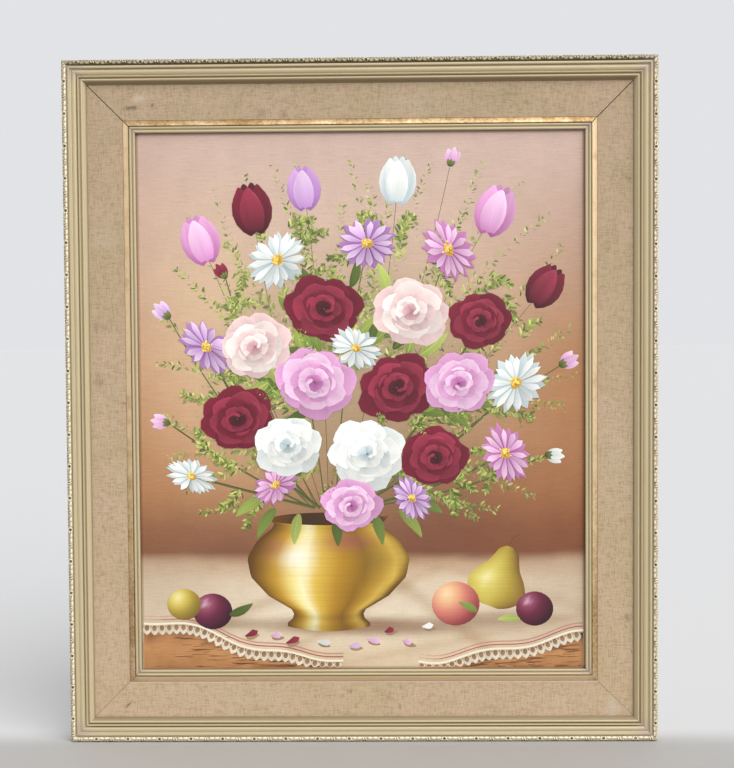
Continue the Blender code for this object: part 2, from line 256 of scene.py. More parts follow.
def champagneLacquer():
    # Metallic champagne lacquer brushed along a gessoed wooden moulding. The eye gets a satin sheen with fine
    # streaks along the length, brown glaze left in the grooves together with painted shade there, dark
    # hollows in the carving painted as glaze and shade, pale rubbed high points that also carry a painted
    # highlight, greyer retouched corners.
    look = dict(body="#C6B692", streakDark="#B7A67F", streakPale="#D6C8A5", glazeAndShade="#644D29", rubbedAndHighlight="#FFF6DF",
                hollowGlazeAndShade="#48432F", retouch="#B5A393", streakWidth=0.5, streakLength=60.0, blotch=28.0)
    material, tree, shader = newMaterial("champagne_lacquer_brushed", Metallic=0.12, IOR=1.5)
    grain = add(tree, "UVMap", uv_map="grain").outputs["UV"]
    along = add(tree, "Mapping",
                {"Vector": grain, "Scale": (1000 / look["streakLength"], 1000 / look["streakWidth"], 1)})
    streaks = add(tree, "TexNoise", {"Vector": along.outputs[0], "Scale": 1.0, "Detail": 3.0,
                                     "Roughness": 0.6})
    where = add(tree, "TexCoord").outputs["Object"]
    blotches = add(tree, "TexNoise", {"Vector": where, "Scale": 1000 / look["blotch"], "Detail": 4.0,
                                      "Roughness": 0.55})
    specks = add(tree, "TexNoise", {"Vector": where, "Scale": 900.0, "Detail": 2.0})
    spread = add(tree, "MapRange", {"Value": streaks.outputs["Fac"], "From Min": 0.3, "From Max": 0.7})
    colour = add(tree, "Mix", {0: spread.outputs[0], 6: rgba(look["streakDark"]),
                               7: rgba(look["streakPale"])}, data_type="RGBA")
    half = add(tree, "MapRange", {"Value": blotches.outputs["Fac"], "From Min": 0.35, "From Max": 0.65,
                                  "To Min": 0.35, "To Max": 0.85})
    colour = add(tree, "Mix", {0: half.outputs[0], 6: colour.outputs[2], 7: rgba(look["body"])},
                 data_type="RGBA")
    # the groove value is brown glaze together with painted shade in grooves, crevices and shaded slopes
    groove = add(tree, "Attribute", attribute_name="groove").outputs["Fac"]
    grooveGlazeAndShade = add(tree, "MapRange", {"Value": groove, "From Min": 0.2, "From Max": 1.0, "To Max": 0.88})
    # relief: low parts of the carving take a dark tint as glaze and painted shade, high parts a pale tint as
    # wear with a painted highlight
    relief = add(tree, "Attribute", attribute_name="relief").outputs["Fac"]
    low = add(tree, "MapRange", {"Value": relief, "From Min": 0.46, "From Max": 0.10, "To Max": 0.95})
    high = add(tree, "MapRange", {"Value": relief, "From Min": 0.55, "From Max": 0.80, "To Max": 0.9})
    retouch = add(tree, "Attribute", attribute_name="retouch")
    for amount, tint in ((grooveGlazeAndShade, "glazeAndShade"), (low, "hollowGlazeAndShade"), (high, "rubbedAndHighlight"), (retouch, "retouch")):
        amount = amount.outputs["Fac" if tint == "retouch" else 0]
        colour = add(tree, "Mix", {0: amount, 6: colour.outputs[2], 7: rgba(look[tint])}, data_type="RGBA")
    tree.links.new(colour.outputs[2], shader.inputs["Base Color"])
    rough = add(tree, "MapRange", {"Value": blotches.outputs["Fac"], "From Min": 0.3, "From Max": 0.7,
                                   "To Min": 0.36, "To Max": 0.5})
    tree.links.new(rough.outputs[0], shader.inputs["Roughness"])
    fine = add(tree, "Math", {0: streaks.outputs["Fac"], 1: specks.outputs["Fac"]}, operation="ADD")
    bump = add(tree, "Bump", {"Height": fine.outputs[0], "Distance": 0.00008, "Strength": 0.6})
    tree.links.new(bump.outputs[0], shader.inputs["Normal"])
    return material


def bareWood(name, pale, dark, saw):
    # Sawn or planed light wood left bare. The eye gets straight grain along the piece, darker late wood lines
    # and faint cutter marks across it.
    look = dict(lineWidth=2.4, lineLength=170.0, pore=0.25, cutter=1.6)
    material, tree, shader = newMaterial(name, Roughness=0.68, IOR=1.5)
    grain = add(tree, "UVMap", uv_map="grain").outputs["UV"]
    lined = add(tree, "Mapping",
                {"Vector": grain, "Scale": (1000 / look["lineLength"], 1000 / look["lineWidth"], 1)})
    lines = add(tree, "TexNoise", {"Vector": lined.outputs[0], "Scale": 1.0, "Detail": 4.0,
                                   "Roughness": 0.6, "Distortion": 0.4})
    fibre = add(tree, "Mapping", {"Vector": grain, "Scale": (60, 1000 / look["pore"], 1)})
    fibres = add(tree, "TexNoise", {"Vector": fibre.outputs[0], "Scale": 1.0, "Detail": 2.0})
    both = add(tree, "Math", {0: lines.outputs["Fac"], 1: fibres.outputs["Fac"]}, operation="ADD")
    spread = add(tree, "MapRange", {"Value": both.outputs[0], "From Min": 0.75, "From Max": 1.25})
    colour = add(tree, "Mix", {0: spread.outputs[0], 6: rgba(dark), 7: rgba(pale)}, data_type="RGBA")
    tree.links.new(colour.outputs[2], shader.inputs["Base Color"])
    cut = add(tree, "Mapping", {"Vector": grain, "Scale": (1000 / look["cutter"], 0, 1)})
    cuts = add(tree, "TexNoise", {"Vector": cut.outputs[0], "Scale": 1.0, "Detail": 1.0})
    height = add(tree, "Math", {0: cuts.outputs["Fac"], 1: saw, 2: both.outputs[0]}, operation="MULTIPLY_ADD")
    bump = add(tree, "Bump", {"Height": height.outputs[0], "Distance": 0.00012, "Strength": 0.5})
    tree.links.new(bump.outputs[0], shader.inputs["Normal"])
    return material


def giltLeaf():
    # Metal leaf burnished onto a wooden strip and since rubbed. The eye gets a soft mirror along the strip
    # with fine scratches, dull bronze where the leaf has thinned and where painted shade dulls it, and small
    # brown nicks down to the ground.
    look = dict(leaf="#F0D4AA", thin="#BA945C", nick="#553A1E", streakWidth=0.4, streakLength=45.0,
                patch=16.0, nickSize=3.0)
    material, tree, shader = newMaterial("metal_leaf_burnished", Metallic=0.85)
    grain = add(tree, "UVMap", uv_map="grain").outputs["UV"]
    along = add(tree, "Mapping",
                {"Vector": grain, "Scale": (1000 / look["streakLength"], 1000 / look["streakWidth"], 1)})
    streaks = add(tree, "TexNoise", {"Vector": along.outputs[0], "Scale": 1.0, "Detail": 3.0})
    where = add(tree, "TexCoord").outputs["Object"]
    patches = add(tree, "TexNoise", {"Vector": where, "Scale": 1000 / look["patch"], "Detail": 4.0,
                                     "Roughness": 0.65})
    nicks = add(tree, "TexNoise", {"Vector": where, "Scale": 1000 / look["nickSize"], "Detail": 3.0,
                                   "Roughness": 0.7})
    # this value holds wear of the leaf and painted shade that differs by side
    wornAndShaded = add(tree, "Attribute", attribute_name="wornAndShaded").outputs["Fac"]
    thinning = add(tree, "Math", {0: patches.outputs["Fac"], 1: wornAndShaded}, operation="ADD")
    thinned = add(tree, "MapRange", {"Value": thinning.outputs[0], "From Min": 0.52, "From Max": 1.0,
                                     "To Max": 0.9})
    colour = add(tree, "Mix", {0: thinned.outputs[0], 6: rgba(look["leaf"]), 7: rgba(look["thin"])},
                 data_type="RGBA")
    picking = add(tree, "Math", {0: nicks.outputs["Fac"], 1: wornAndShaded}, operation="ADD")
    picked = add(tree, "MapRange", {"Value": picking.outputs[0], "From Min": 0.72, "From Max": 1.2,
                                    "To Max": 0.9})
    colour = add(tree, "Mix", {0: picked.outputs[0], 6: colour.outputs[2], 7: rgba(look["nick"])},
                 data_type="RGBA")
    tree.links.new(colour.outputs[2], shader.inputs["Base Color"])
    rough = add(tree, "MapRange", {"Value": thinning.outputs[0], "From Min": 0.3, "From Max": 1.0,
                                   "To Min": 0.32, "To Max": 0.52})
    tree.links.new(rough.outputs[0], shader.inputs["Roughness"])
    bump = add(tree, "Bump", {"Height": streaks.outputs["Fac"], "Distance": 0.00006, "Strength": 0.7})
    tree.links.new(bump.outputs[0], shader.inputs["Normal"])
    return material


def wovenLinen(offset):
    # Natural linen glued over the liner. The eye gets a plain weave of uneven threads, thick slubs both ways,
    # darker flecks and a few brown stains. Real threads are 0.5 mm apart; they are drawn at 0.9 mm to show.
    look = dict(thread=0.9, slubLength=7.0, pale="#CFB797", mid="#C1A988", dark="#9E8362", fleck="#7A5F45",
                stain="#3A2413", fadedAndRimLight="#D2C6B6", fadePatch=45.0, olive="#B9A57E", rosy="#CDAF96")
    material, tree, shader = newMaterial("linen_plain_woven", Roughness=0.85, IOR=1.45, Sheen_Weight=0.25,
                                         Sheen_Roughness=0.5)
    where = add(tree, "TexCoord").outputs["Object"]
    moved = add(tree, "Mapping", {"Vector": where, "Location": (offset, 0, offset * 0.7)}).outputs[0]
    long, thin = 1000 / look["slubLength"], 1000 / look["thread"]
    weft = add(tree, "Mapping", {"Vector": moved, "Scale": (long, thin, thin)})
    warp = add(tree, "Mapping", {"Vector": moved, "Scale": (thin, thin, long)})
    wefts = add(tree, "TexNoise", {"Vector": weft.outputs[0], "Scale": 1.0, "Detail": 2.5, "Roughness": 0.6})
    warps = add(tree, "TexNoise", {"Vector": warp.outputs[0], "Scale": 1.0, "Detail": 2.5, "Roughness": 0.6})
    weave = add(tree, "Math", {0: wefts.outputs["Fac"], 1: warps.outputs["Fac"]}, operation="ADD")
    tone = add(tree, "MapRange", {"Value": weave.outputs[0], "From Min": 0.78, "From Max": 1.22})
    ramp = add(tree, "ValToRGB", {"Fac": tone.outputs[0]})
    ramp.color_ramp.elements[0].color = rgba(look["dark"])
    ramp.color_ramp.elements[1].color = rgba(look["pale"])
    ramp.color_ramp.elements.new(0.42).color = rgba(look["mid"])
    patches = add(tree, "TexNoise", {"Vector": moved, "Scale": 1000 / look["fadePatch"], "Detail": 4.0,
                                     "Roughness": 0.6})
    fade = add(tree, "MapRange", {"Value": patches.outputs["Fac"], "From Min": 0.35, "From Max": 0.65})
    hue = add(tree, "Mix", {0: fade.outputs[0], 6: rgba(look["olive"]), 7: rgba(look["rosy"])},
              data_type="RGBA")
    colour = add(tree, "Mix", {0: 0.4, 6: ramp.outputs[0], 7: hue.outputs[2]}, data_type="RGBA")
    # painted shade: the linen is made darker towards the top of the frame
    height = add(tree, "SeparateXYZ", {0: where}).outputs["Z"]
    shadedTowardsTop = add(tree, "MapRange", {"Value": height, "From Min": -0.70, "From Max": -0.05, "To Min": 0.96,
                                    "To Max": 0.83})
    colour = add(tree, "VectorMath", {0: colour.outputs[2], "Scale": shadedTowardsTop.outputs[0]}, operation="SCALE")
    flecks = add(tree, "TexNoise", {"Vector": moved, "Scale": 420.0, "Detail": 3.0, "Roughness": 0.75})
    flecked = add(tree, "MapRange", {"Value": flecks.outputs["Fac"], "From Min": 0.64, "From Max": 0.82,
                                     "To Max": 0.5})
    colour = add(tree, "Mix", {0: flecked.outputs[0], 6: colour.outputs[0], 7: rgba(look["fleck"])},
                 data_type="RGBA")
    # pale faded patches, and a painted highlight along the bottom inner rim
    fadedAndRimLightAmount = add(tree, "Attribute", attribute_name="fadedAndRimLight").outputs["Fac"]
    colour = add(tree, "Mix", {0: fadedAndRimLightAmount, 6: colour.outputs[2], 7: rgba(look["fadedAndRimLight"])}, data_type="RGBA")
    stain = add(tree, "Attribute", attribute_name="stain").outputs["Fac"]
    ragged = add(tree, "Math", {0: stain, 1: tone.outputs[0]}, operation="MULTIPLY")
    ragged = add(tree, "Math", {0: ragged.outputs[0], 1: -0.35, 2: stain}, operation="MULTIPLY_ADD")
    colour = add(tree, "Mix", {0: ragged.outputs[0], 6: colour.outputs[2], 7: rgba(look["stain"])},
                 data_type="RGBA")
    tree.links.new(colour.outputs[2], shader.inputs["Base Color"])
    bump = add(tree, "Bump", {"Height": weave.outputs[0], "Distance": 0.00035, "Strength": 0.7})
    tree.links.new(bump.outputs[0], shader.inputs["Normal"])
    return material


def oilPaint():
    # Thin oil paint over primed cotton. The eye gets soft brush streaks in each stroke, the weave showing
    # where paint is thin, thicker opaque touches in the blooms and a low satin gloss from the old varnish.
    # Real threads are 0.4 mm apart; they are drawn at 1.2 mm to show.
    look = dict(bristle=0.9, strokeLength=26.0, weavePitch=1.2, scumble=38.0)
    material, tree, shader = newMaterial("oil_paint_brushed", IOR=1.5)
    paint = add(tree, "Attribute", attribute_name="paint").outputs["Color"]
    thin = add(tree, "Attribute", attribute_name="thin").outputs["Fac"]
    grain = add(tree, "UVMap", uv_map="grain").outputs["UV"]
    along = add(tree, "Mapping",
                {"Vector": grain, "Scale": (1000 / look["strokeLength"], 1000 / look["bristle"], 1)})
    bristles = add(tree, "TexNoise", {"Vector": along.outputs[0], "Scale": 1.0, "Detail": 2.0,
                                      "Roughness": 0.55})
    where = add(tree, "TexCoord").outputs["Object"]
    pitch = 1000 / look["weavePitch"]
    across = add(tree, "Mapping", {"Vector": where, "Scale": (pitch, pitch, pitch * 0.3)})
    upright = add(tree, "TexNoise", {"Vector": across.outputs[0], "Scale": 1.0, "Detail": 1.0})
    level = add(tree, "Mapping", {"Vector": where, "Scale": (pitch * 0.3, pitch, pitch)})
    lying = add(tree, "TexNoise", {"Vector": level.outputs[0], "Scale": 1.0, "Detail": 1.0})
    weave = add(tree, "Math", {0: upright.outputs["Fac"], 1: lying.outputs["Fac"]}, operation="ADD")
    scumbled = add(tree, "Mapping",
                   {"Vector": where, "Scale": (1300 / look["scumble"], 1, 900 / look["scumble"])})
    clouds = add(tree, "TexNoise", {"Vector": scumbled.outputs[0], "Scale": 1.0, "Detail": 5.0,
                                    "Roughness": 0.6})
    weaveTone = add(tree, "MapRange", {"Value": weave.outputs[0], "From Min": 0.7, "From Max": 1.3,
                                       "To Min": -0.03, "To Max": 0.03})
    weaveTone = add(tree, "Math", {0: weaveTone.outputs[0], 1: thin}, operation="MULTIPLY")
    cloudTone = add(tree, "MapRange", {"Value": clouds.outputs["Fac"], "From Min": 0.3, "From Max": 0.7,
                                       "To Min": -0.04, "To Max": 0.04})
    cloudTone = add(tree, "Math", {0: cloudTone.outputs[0], 1: thin}, operation="MULTIPLY")
    bristleTone = add(tree, "MapRange", {"Value": bristles.outputs["Fac"], "From Min": 0.3, "From Max": 0.7,
                                         "To Min": 0.93, "To Max": 1.07})
    tone = add(tree, "Math", {0: weaveTone.outputs[0], 1: cloudTone.outputs[0]}, operation="ADD")
    tone = add(tree, "Math", {0: tone.outputs[0], 1: bristleTone.outputs[0]}, operation="ADD")
    colour = add(tree, "VectorMath", {0: paint, "Scale": tone.outputs[0]}, operation="SCALE")
    tree.links.new(colour.outputs[0], shader.inputs["Base Color"])
    rough = add(tree, "MapRange", {"Value": clouds.outputs["Fac"], "From Min": 0.3, "From Max": 0.7,
                                   "To Min": 0.46, "To Max": 0.6})
    tree.links.new(rough.outputs[0], shader.inputs["Roughness"])
    ridges = add(tree, "Math", {0: bristles.outputs["Fac"], 1: 0.6, 2: weave.outputs[0]},
                 operation="MULTIPLY_ADD")
    bump = add(tree, "Bump", {"Height": ridges.outputs[0], "Distance": 0.00012, "Strength": 0.6})
    tree.links.new(bump.outputs[0], shader.inputs["Normal"])
    return material


def rawCotton():
    # Unprimed back of a cotton canvas. The eye gets an even off-white plain weave with warm fuzz and faint
    # yellowing. Real threads are 0.4 mm apart; they are drawn at 2 mm to show.
    look = dict(pitch=2.0, pale="#DCD2BC", dark="#BDAE90", aged="#CBB98F")
    material, tree, shader = newMaterial("cotton_duck_unprimed", Roughness=0.9, IOR=1.45, Sheen_Weight=0.3,
                                         Sheen_Roughness=0.6)
    where = add(tree, "TexCoord").outputs["Object"]
    wefts = add(tree, "TexWave", {"Vector": where, "Scale": math.tau * 50 / look["pitch"],
                                  "Distortion": 1.5, "Detail": 2.0}, wave_type="BANDS", bands_direction="X")
    warps = add(tree, "TexWave", {"Vector": where, "Scale": math.tau * 50 / look["pitch"],
                                  "Distortion": 1.5, "Detail": 2.0}, wave_type="BANDS", bands_direction="Z")
    weave = add(tree, "Math", {0: wefts.outputs["Fac"], 1: warps.outputs["Fac"]}, operation="ADD")
    tone = add(tree, "MapRange", {"Value": weave.outputs[0], "From Max": 2.0})
    colour = add(tree, "Mix", {0: tone.outputs[0], 6: rgba(look["dark"]), 7: rgba(look["pale"])},
                 data_type="RGBA")
    patches = add(tree, "TexNoise", {"Vector": where, "Scale": 14.0, "Detail": 5.0})
    age = add(tree, "MapRange", {"Value": patches.outputs["Fac"], "From Min": 0.4, "From Max": 0.75,
                                 "To Max": 0.6})
    colour = add(tree, "Mix", {0: age.outputs[0], 6: colour.outputs[2], 7: rgba(look["aged"])},
                 data_type="RGBA")
    tree.links.new(colour.outputs[2], shader.inputs["Base Color"])
    bump = add(tree, "Bump", {"Height": weave.outputs[0], "Distance": 0.0002, "Strength": 0.6})
    tree.links.new(bump.outputs[0], shader.inputs["Normal"])
    return material


lacquer = champagneLacquer()
leaf = giltLeaf()
paintMaterial = oilPaint()
cotton = rawCotton()
pine = bareWood("pine_planed", "#D9B685", "#B98B58", 0.6)
limewood = bareWood("limewood_sawn", "#CDB28A", "#A98960", 1.6)
print("materials made")


# Outer moulding: widths, drops below the crest and other sizes in mm. Each glaze table says how many times
# the usual brown glaze, with painted shade in it, a side holds at that member; each dirt table how far dirt
# and painted shade dull that half of a side's carving.
moulding = dict(lipEdge=0.6, slope=3.4, slopeTopDrop=3.2, reed=2.5, reedDrop=2.2, deepGroove=1.5,
                deepGrooveDrop=4.0, fineReed=1.9, fineReedDrop=1.7, fineGroove=1.2, fineGrooveDrop=3.5,
                ovolo=5.1, ovoloDrop=1.2, ovoloRise=1.0, step=1.6, stepDrop=2.0, fillet=2.4, quirk=0.9,
                quirkDrop=2.6, bead=6.5, sideInset=1.6, sideTopDrop=6.4, arris=0.3, stations=401, finer=4,
                retouchReach=24.0, slopeGlazeAndShade=dict(top=1.4, right=0.45, bottom=1.2, left=0.35), mitre=0.05,
                deepGlazeAndShade=dict(top=1.0, right=0.9, bottom=1.2, left=0.7),
                fineGlazeAndShade=dict(top=0.3, right=0.3, bottom=1.3, left=1.0),
                stepGlazeAndShade=dict(top=2.1, right=1.0, bottom=1.0, left=0.6))
carving = dict(pitch=35.4, halfWidth=2.7, halfHeight=2.2, girth=2.7, topDrop=0.25, rise=0.62,
               firstAngle=152.0, lastAngle=-50.0, points=27,
               outerDirtAndShade=dict(top=0.36, right=0.12, bottom=0.20, left=0.30),
               innerDirtAndShade=dict(top=0.66, right=0.18, bottom=0.0, left=0.0),
               starts=dict(top=7.7, right=5.0, bottom=16.0, left=1.3))


def mouldingMembers():
    # From the fillet inwards over the members to the lip on the linen: place, level, and how much brown glaze
    # and painted shade the spot holds.
    m = moulding
    place = frameEdge - sum(m[k] for k in ("bead", "quirk", "fillet", "step", "ovolo", "fineGroove",
                                           "fineReed", "deepGroove", "reed", "slope"))
    base = crest - m["slopeTopDrop"]
    lip = linenLevel + jointGap
    front = [[(place, lip, 1.0), (place, lip + m["lipEdge"], 0.9),
              (place + 0.5 * m["slope"], lip + 2.1, 0.65)]]
    place += m["slope"]

    def glazedReed(start, width, foot, rise, glazeAndShade):
        reed = arcReed(start, width, foot, rise)
        return [(*p, glazeAndShade * (1 - math.sin(math.pi * i / 8)) ** 1.3) for i, p in enumerate(reed)]

    front.append(glazedReed(place, m["reed"], base, m["slopeTopDrop"] - m["reedDrop"], 0.5))
    place += m["reed"]
    front.append([(place + m["deepGroove"] * 0.35, crest - m["deepGrooveDrop"], 1.0),
                  (place + m["deepGroove"] * 0.65, crest - m["deepGrooveDrop"], 0.9)])
    place += m["deepGroove"]
    front.append(glazedReed(place, m["fineReed"], base, m["slopeTopDrop"] - m["fineReedDrop"], 0.35))
    place += m["fineReed"]
    front.append([(place + m["fineGroove"] / 2, crest - m["fineGrooveDrop"], 1.0)])
    place += m["fineGroove"]
    front.append(glazedReed(place, m["ovolo"], crest - m["ovoloDrop"] - m["ovoloRise"], m["ovoloRise"], 0.45))
    place += m["ovolo"]
    front.append([(place + m["step"] * 0.3, crest - m["stepDrop"], 0.4),
                  (place + m["step"] * 0.75, crest - 0.8 * m["stepDrop"], 0.3)])
    place += m["step"]
    front.append([(place, crest - 0.15, 0.1), (place + m["fillet"] / 2, crest, 0.0),
                  (place + m["fillet"], crest - 0.2, 0.15)])
    return np.array([p for part in front for p in part])[::-1]


def carvedHeight(along, w, start):
    # Height of the carving in mm over the bead. Per repeat: a ring with a hollow eye and two arms beside it,
    # long lobes of leaf on the inner side, a tie of two slanting bars, and the lobes mirrored; short slanting
    # leaves fill the outer side. u runs along from the ring, w across from the bead's front line, inwards
    # positive. Raised parts are domes of distance, and the highest one counts.
    pitch = carving["pitch"]
    u = (along - start + pitch / 2) % pitch - pitch / 2
    tie = u - pitch / 2 * np.sign(u + 1e-9)
    radius = np.hypot(u, w - 0.2)
    ring = 0.52 * dome((radius - 2.3) / 0.75)

    def leafLobe(low, high, middle, wide, rise):
        q = np.clip((np.abs(u) - low) / (high - low), 0.001, 0.999)
        off = (w - middle - 0.25 * np.sin(np.pi * q)) / (wide * np.sin(np.pi * q ** 0.8) ** 0.5)
        return rise * dome(off) * np.sin(np.pi * q) ** 0.3

    lobes = np.maximum(leafLobe(3.5, 8.9, 1.2, 1.5, 0.62), leafLobe(9.2, 15.1, 1.1, 1.5, 0.60))
    turn = np.where(u < 0, 1, -1)
    small = (u / 3.5 + turn * 0.30 * (w + 3)) % 1 - 0.5
    smallLeaf = 0.50 * dome(small * 2.9) * dome((w + 2.3) / 2.1) * (np.abs(tie) > 2.2) * (np.abs(u) > 2.6)
    slant = 0.5 * (w + 0.4)
    bars = np.maximum(dome((tie - slant - 1.2) / 0.8), dome((tie - slant + 1.2) / 0.8))
    bars = 0.58 * bars * dome((w + 0.2) / 3.4)
    arms = 0.5 * dome((np.abs(w - 0.2) - 1.0 - 0.34 * (-u - 2.4)) / 0.6) * (u < -2.0) * (u > -5.0)
    raised = np.maximum.reduce([ring, lobes, smallLeaf, bars, arms])
    pits = (0.5 * dome(radius / 1.7) - 0.25 * dome(radius / 0.7)
            + 0.4 * dome(np.hypot((u + 4.0) / 1.3, (w - 0.2) / 0.7)))
    pits = (pits + 0.35 * dome(np.hypot(tie / 0.8, (w + 0.3) / 2.0))
            + 0.25 * dome(np.hypot((np.abs(tie) - 2.9) / 0.8, (w - 0.2) / 1.6)))
    return raised - pits - 0.16


def mouldingDents(side, along, place):
    # small knocks seen on the rails, an oval hollow each: side, distance along, place, half length, half
    # width and depth
    depth = 0 * along
    for where, a, p, long, wide, deep in (("top", -276, 60.2, 2.2, 1.0, 0.7),
                                          ("top", 262, 66, 3.6, 1.5, 0.35),
                                          ("left", -301, 65, 1.6, 1.2, 0.4),
                                          ("right", 96, 66, 2.6, 1.0, 0.25),
                                          ("bottom", 60, 65, 2.0, 1.0, 0.25),
                                          ("left", 160, 71, 2.4, 0.8, 0.25)):
        if where == side:
            depth = depth + deep * np.exp(-(((along - a) / long) ** 2 + ((place - p) / wide) ** 2))
    return depth


def makeMoulding(side):
    m, c = moulding, carving
    clear = m["mitre"] / math.sqrt(2)
    members = mouldingMembers()
    rebate = linerOuter + jointGap
    sideWall = frameEdge - m["sideInset"]
    # softening takes the profile as closed, so what it adds before the fillet's outer edge is dropped
    front = softened(members[:, :2], m["arris"], 50)
    front = front[np.argmin(np.abs(front[:, 0] - members[0, 0]) + 10 * (front[:, 1] < crest - 1)):]
    glazeAndShade = np.interp(front[:, 0], members[::-1, 0], members[::-1, 2])
    # each side holds its own amount of brown glaze and painted shade on the slope, in the two grooves and on
    # the step
    deep = m["slope"] + m["reed"]
    fineStart = deep + m["deepGroove"] + m["fineReed"]
    stepStart = fineStart + m["fineGroove"] + m["ovolo"]
    for key, low, high in (("slopeGlazeAndShade", 0.6, m["slope"] + 0.1),
                           ("deepGlazeAndShade", deep - 0.3, deep + m["deepGroove"] + 0.3),
                           ("fineGlazeAndShade", fineStart - 0.3, fineStart + m["fineGroove"] + 0.3),
                           ("stepGlazeAndShade", stepStart, stepStart + m["step"] - 0.1)):
        inside = (front[:, 0] > members[-1, 0] + low) & (front[:, 0] < members[-1, 0] + high)
        glazeAndShade = np.where(inside, glazeAndShade * m[key][side], glazeAndShade)
    plain = np.concatenate([front, [[rebate, linenLevel + jointGap], [rebate, 0.0], [sideWall - 0.4, 0.0],
                                    [sideWall, 0.4]]])
    glazeAndShade = np.concatenate([glazeAndShade, [1.0, 0.3, 0.2, 0.1]])
    coarse = np.linspace(-1, 1, m["stations"])[:, None]
    fine = np.linspace(-1, 1, (m["stations"] - 1) * m["finer"] + 1)[:, None]
    half = sides[side]["half"]

    # the bead: an ellipse with the carving laid on it; angle 90 faces the viewer, 0 faces outwards
    angle = np.radians(np.linspace(c["firstAngle"], c["lastAngle"], c["points"]))[None]
    centrePlace = frameEdge - c["halfWidth"] - c["rise"]
    centreLevel = crest - c["topDrop"] - c["halfHeight"] - c["rise"]
    w = c["girth"] * (angle - math.pi / 2)
    outward = np.stack([np.cos(angle) / c["halfWidth"], np.sin(angle) / c["halfHeight"]])
    outward = outward / np.hypot(*outward)
    beadAlong = fine * (half + centrePlace + c["halfWidth"] * np.cos(angle) - clear)
    height = carvedHeight(beadAlong, w, c["starts"][side])
    fade = smooth(w, w.min(), w.min() + 1.2) * (1 - smooth(w, 2.2, w.max()))
    height = height * (1 + 0.15 * wavy(beadAlong, 3, 4, 90)) * fade + 0.04 * wavy(beadAlong + 9 * w, 4, 4, 21)
    height = np.clip(height, -0.7, c["rise"])
    beadPlace = centrePlace + c["halfWidth"] * np.cos(angle) + height * outward[0]
    beadLevel = centreLevel + c["halfHeight"] * np.sin(angle) + height * outward[1]
    ones = np.ones_like(fine)
    quirk = (frameEdge - m["bead"] - 0.35 * m["quirk"], crest - m["quirkDrop"])
    foot = (sideWall, crest - m["sideTopDrop"])
    beadPlace = np.concatenate([ones * quirk[0], beadPlace, ones * foot[0]], 1)
    beadLevel = np.concatenate([ones * quirk[1], beadLevel, ones * foot[1]], 1)
    # old dirt and painted shade dull the outer and the inner half of the carving, each side by its own
    # amounts, most on the half that faces away from the light
    dirtAndShade = c["outerDirtAndShade"][side] * (1 - smooth(w, -1.6, 0.3)) + c["innerDirtAndShade"][side] * smooth(w, -0.8, 1.4)
    dirtAndShade = dirtAndShade + 0.07 * wavy(beadAlong + 5 * w, 6, 4, 60)
    relief = np.concatenate([ones * 0.3, (height + 0.62) / 1.1 - dirtAndShade, ones * 0.4], 1)
    beadAlong = fine * (half + beadPlace - clear)

    plainAlong = coarse * (half + plain[None, :, 0] - clear)
    plainPlace = plain[None, :, 0] + 0 * coarse
    plainLevel = plain[None, :, 1] + 0 * coarse
    plainLevel = plainLevel - mouldingDents(side, plainAlong, plainPlace) * (plainLevel > linenLevel)
    points = np.concatenate([toWorld(side, plainAlong, plainPlace, plainLevel).reshape(-1, 3),
                             toWorld(side, beadAlong, beadPlace, beadLevel).reshape(-1, 3)])
    columns, beadColumns = len(plain), beadPlace.shape[1]
    plainCount = len(coarse) * columns
    runPlain = developed(plain)[:-1]
    runBead = -2.0 - 0.35 * np.arange(beadColumns)
    grainPlain = np.stack(np.broadcast_arrays(plainAlong, runPlain[None]), -1)
    grainBead = np.stack(np.broadcast_arrays(beadAlong, runBead[None]), -1)

    # strips that join the coarse and the fine grid, one coarse edge against several fine ones, and the two
    # ends
    step = np.arange(len(coarse) - 1)[:, None]
    run = plainCount + (step * m["finer"] + np.arange(m["finer"] + 1)) * beadColumns
    quirkStrip = np.concatenate([(step + 1) * columns, step * columns, run], 1)
    sideStrip = np.concatenate([step * columns + columns - 1, (step + 1) * columns + columns - 1,
                                run[:, ::-1] + beadColumns - 1], 1)
    firstEnd = np.concatenate([np.arange(columns), plainCount + np.arange(beadColumns)[::-1]])[::-1]
    lastEnd = np.concatenate([(len(coarse) - 1) * columns + np.arange(columns),
                              plainCount + (len(fine) - 1) * beadColumns + np.arange(beadColumns)[::-1]])
    faces = [*gridFaces(len(coarse), columns), *(plainCount + gridFaces(len(fine), beadColumns)),
             *quirkStrip, *sideStrip, firstEnd, lastEnd]
    grainOf = np.concatenate([grainPlain.reshape(-1, 2), grainBead.reshape(-1, 2)])
    grain = [cornerValues(grainPlain), cornerValues(grainBead), grainOf[quirkStrip.ravel()],
             grainOf[sideStrip.ravel()], grainOf[firstEnd], grainOf[lastEnd]]

    # bare wood on the rebate and the back; the touched-up corners end in a ragged edge
    bare = (np.arange(columns - 1) >= columns - 5) & (np.arange(columns - 1) < columns - 2)
    faceMaterials = np.zeros(len(faces), int)
    faceMaterials[:(columns - 1) * (len(coarse) - 1)] = np.tile(bare, len(coarse) - 1)
    alongAll = np.concatenate([plainAlong.ravel(), beadAlong.ravel()])
    placeAll = np.concatenate([plainPlace.ravel(), beadPlace.ravel()])
    toCorner = half + frameEdge - np.abs(alongAll) + 7 * wavy(placeAll * 9 + alongAll * 0.2, 8, 3, 60)
    retouch = 0.75 * (1 - smooth(toCorner, 0.55 * m["retouchReach"], 1.25 * m["retouchReach"]))
    retouch = retouch * smooth(placeAll, linerOuter - 3, linerOuter + 5)
    retouch = retouch * (1 - 0.85 * smooth(placeAll, frameEdge - m["bead"] - 0.4, frameEdge - m["bead"]
                                           + 0.6))
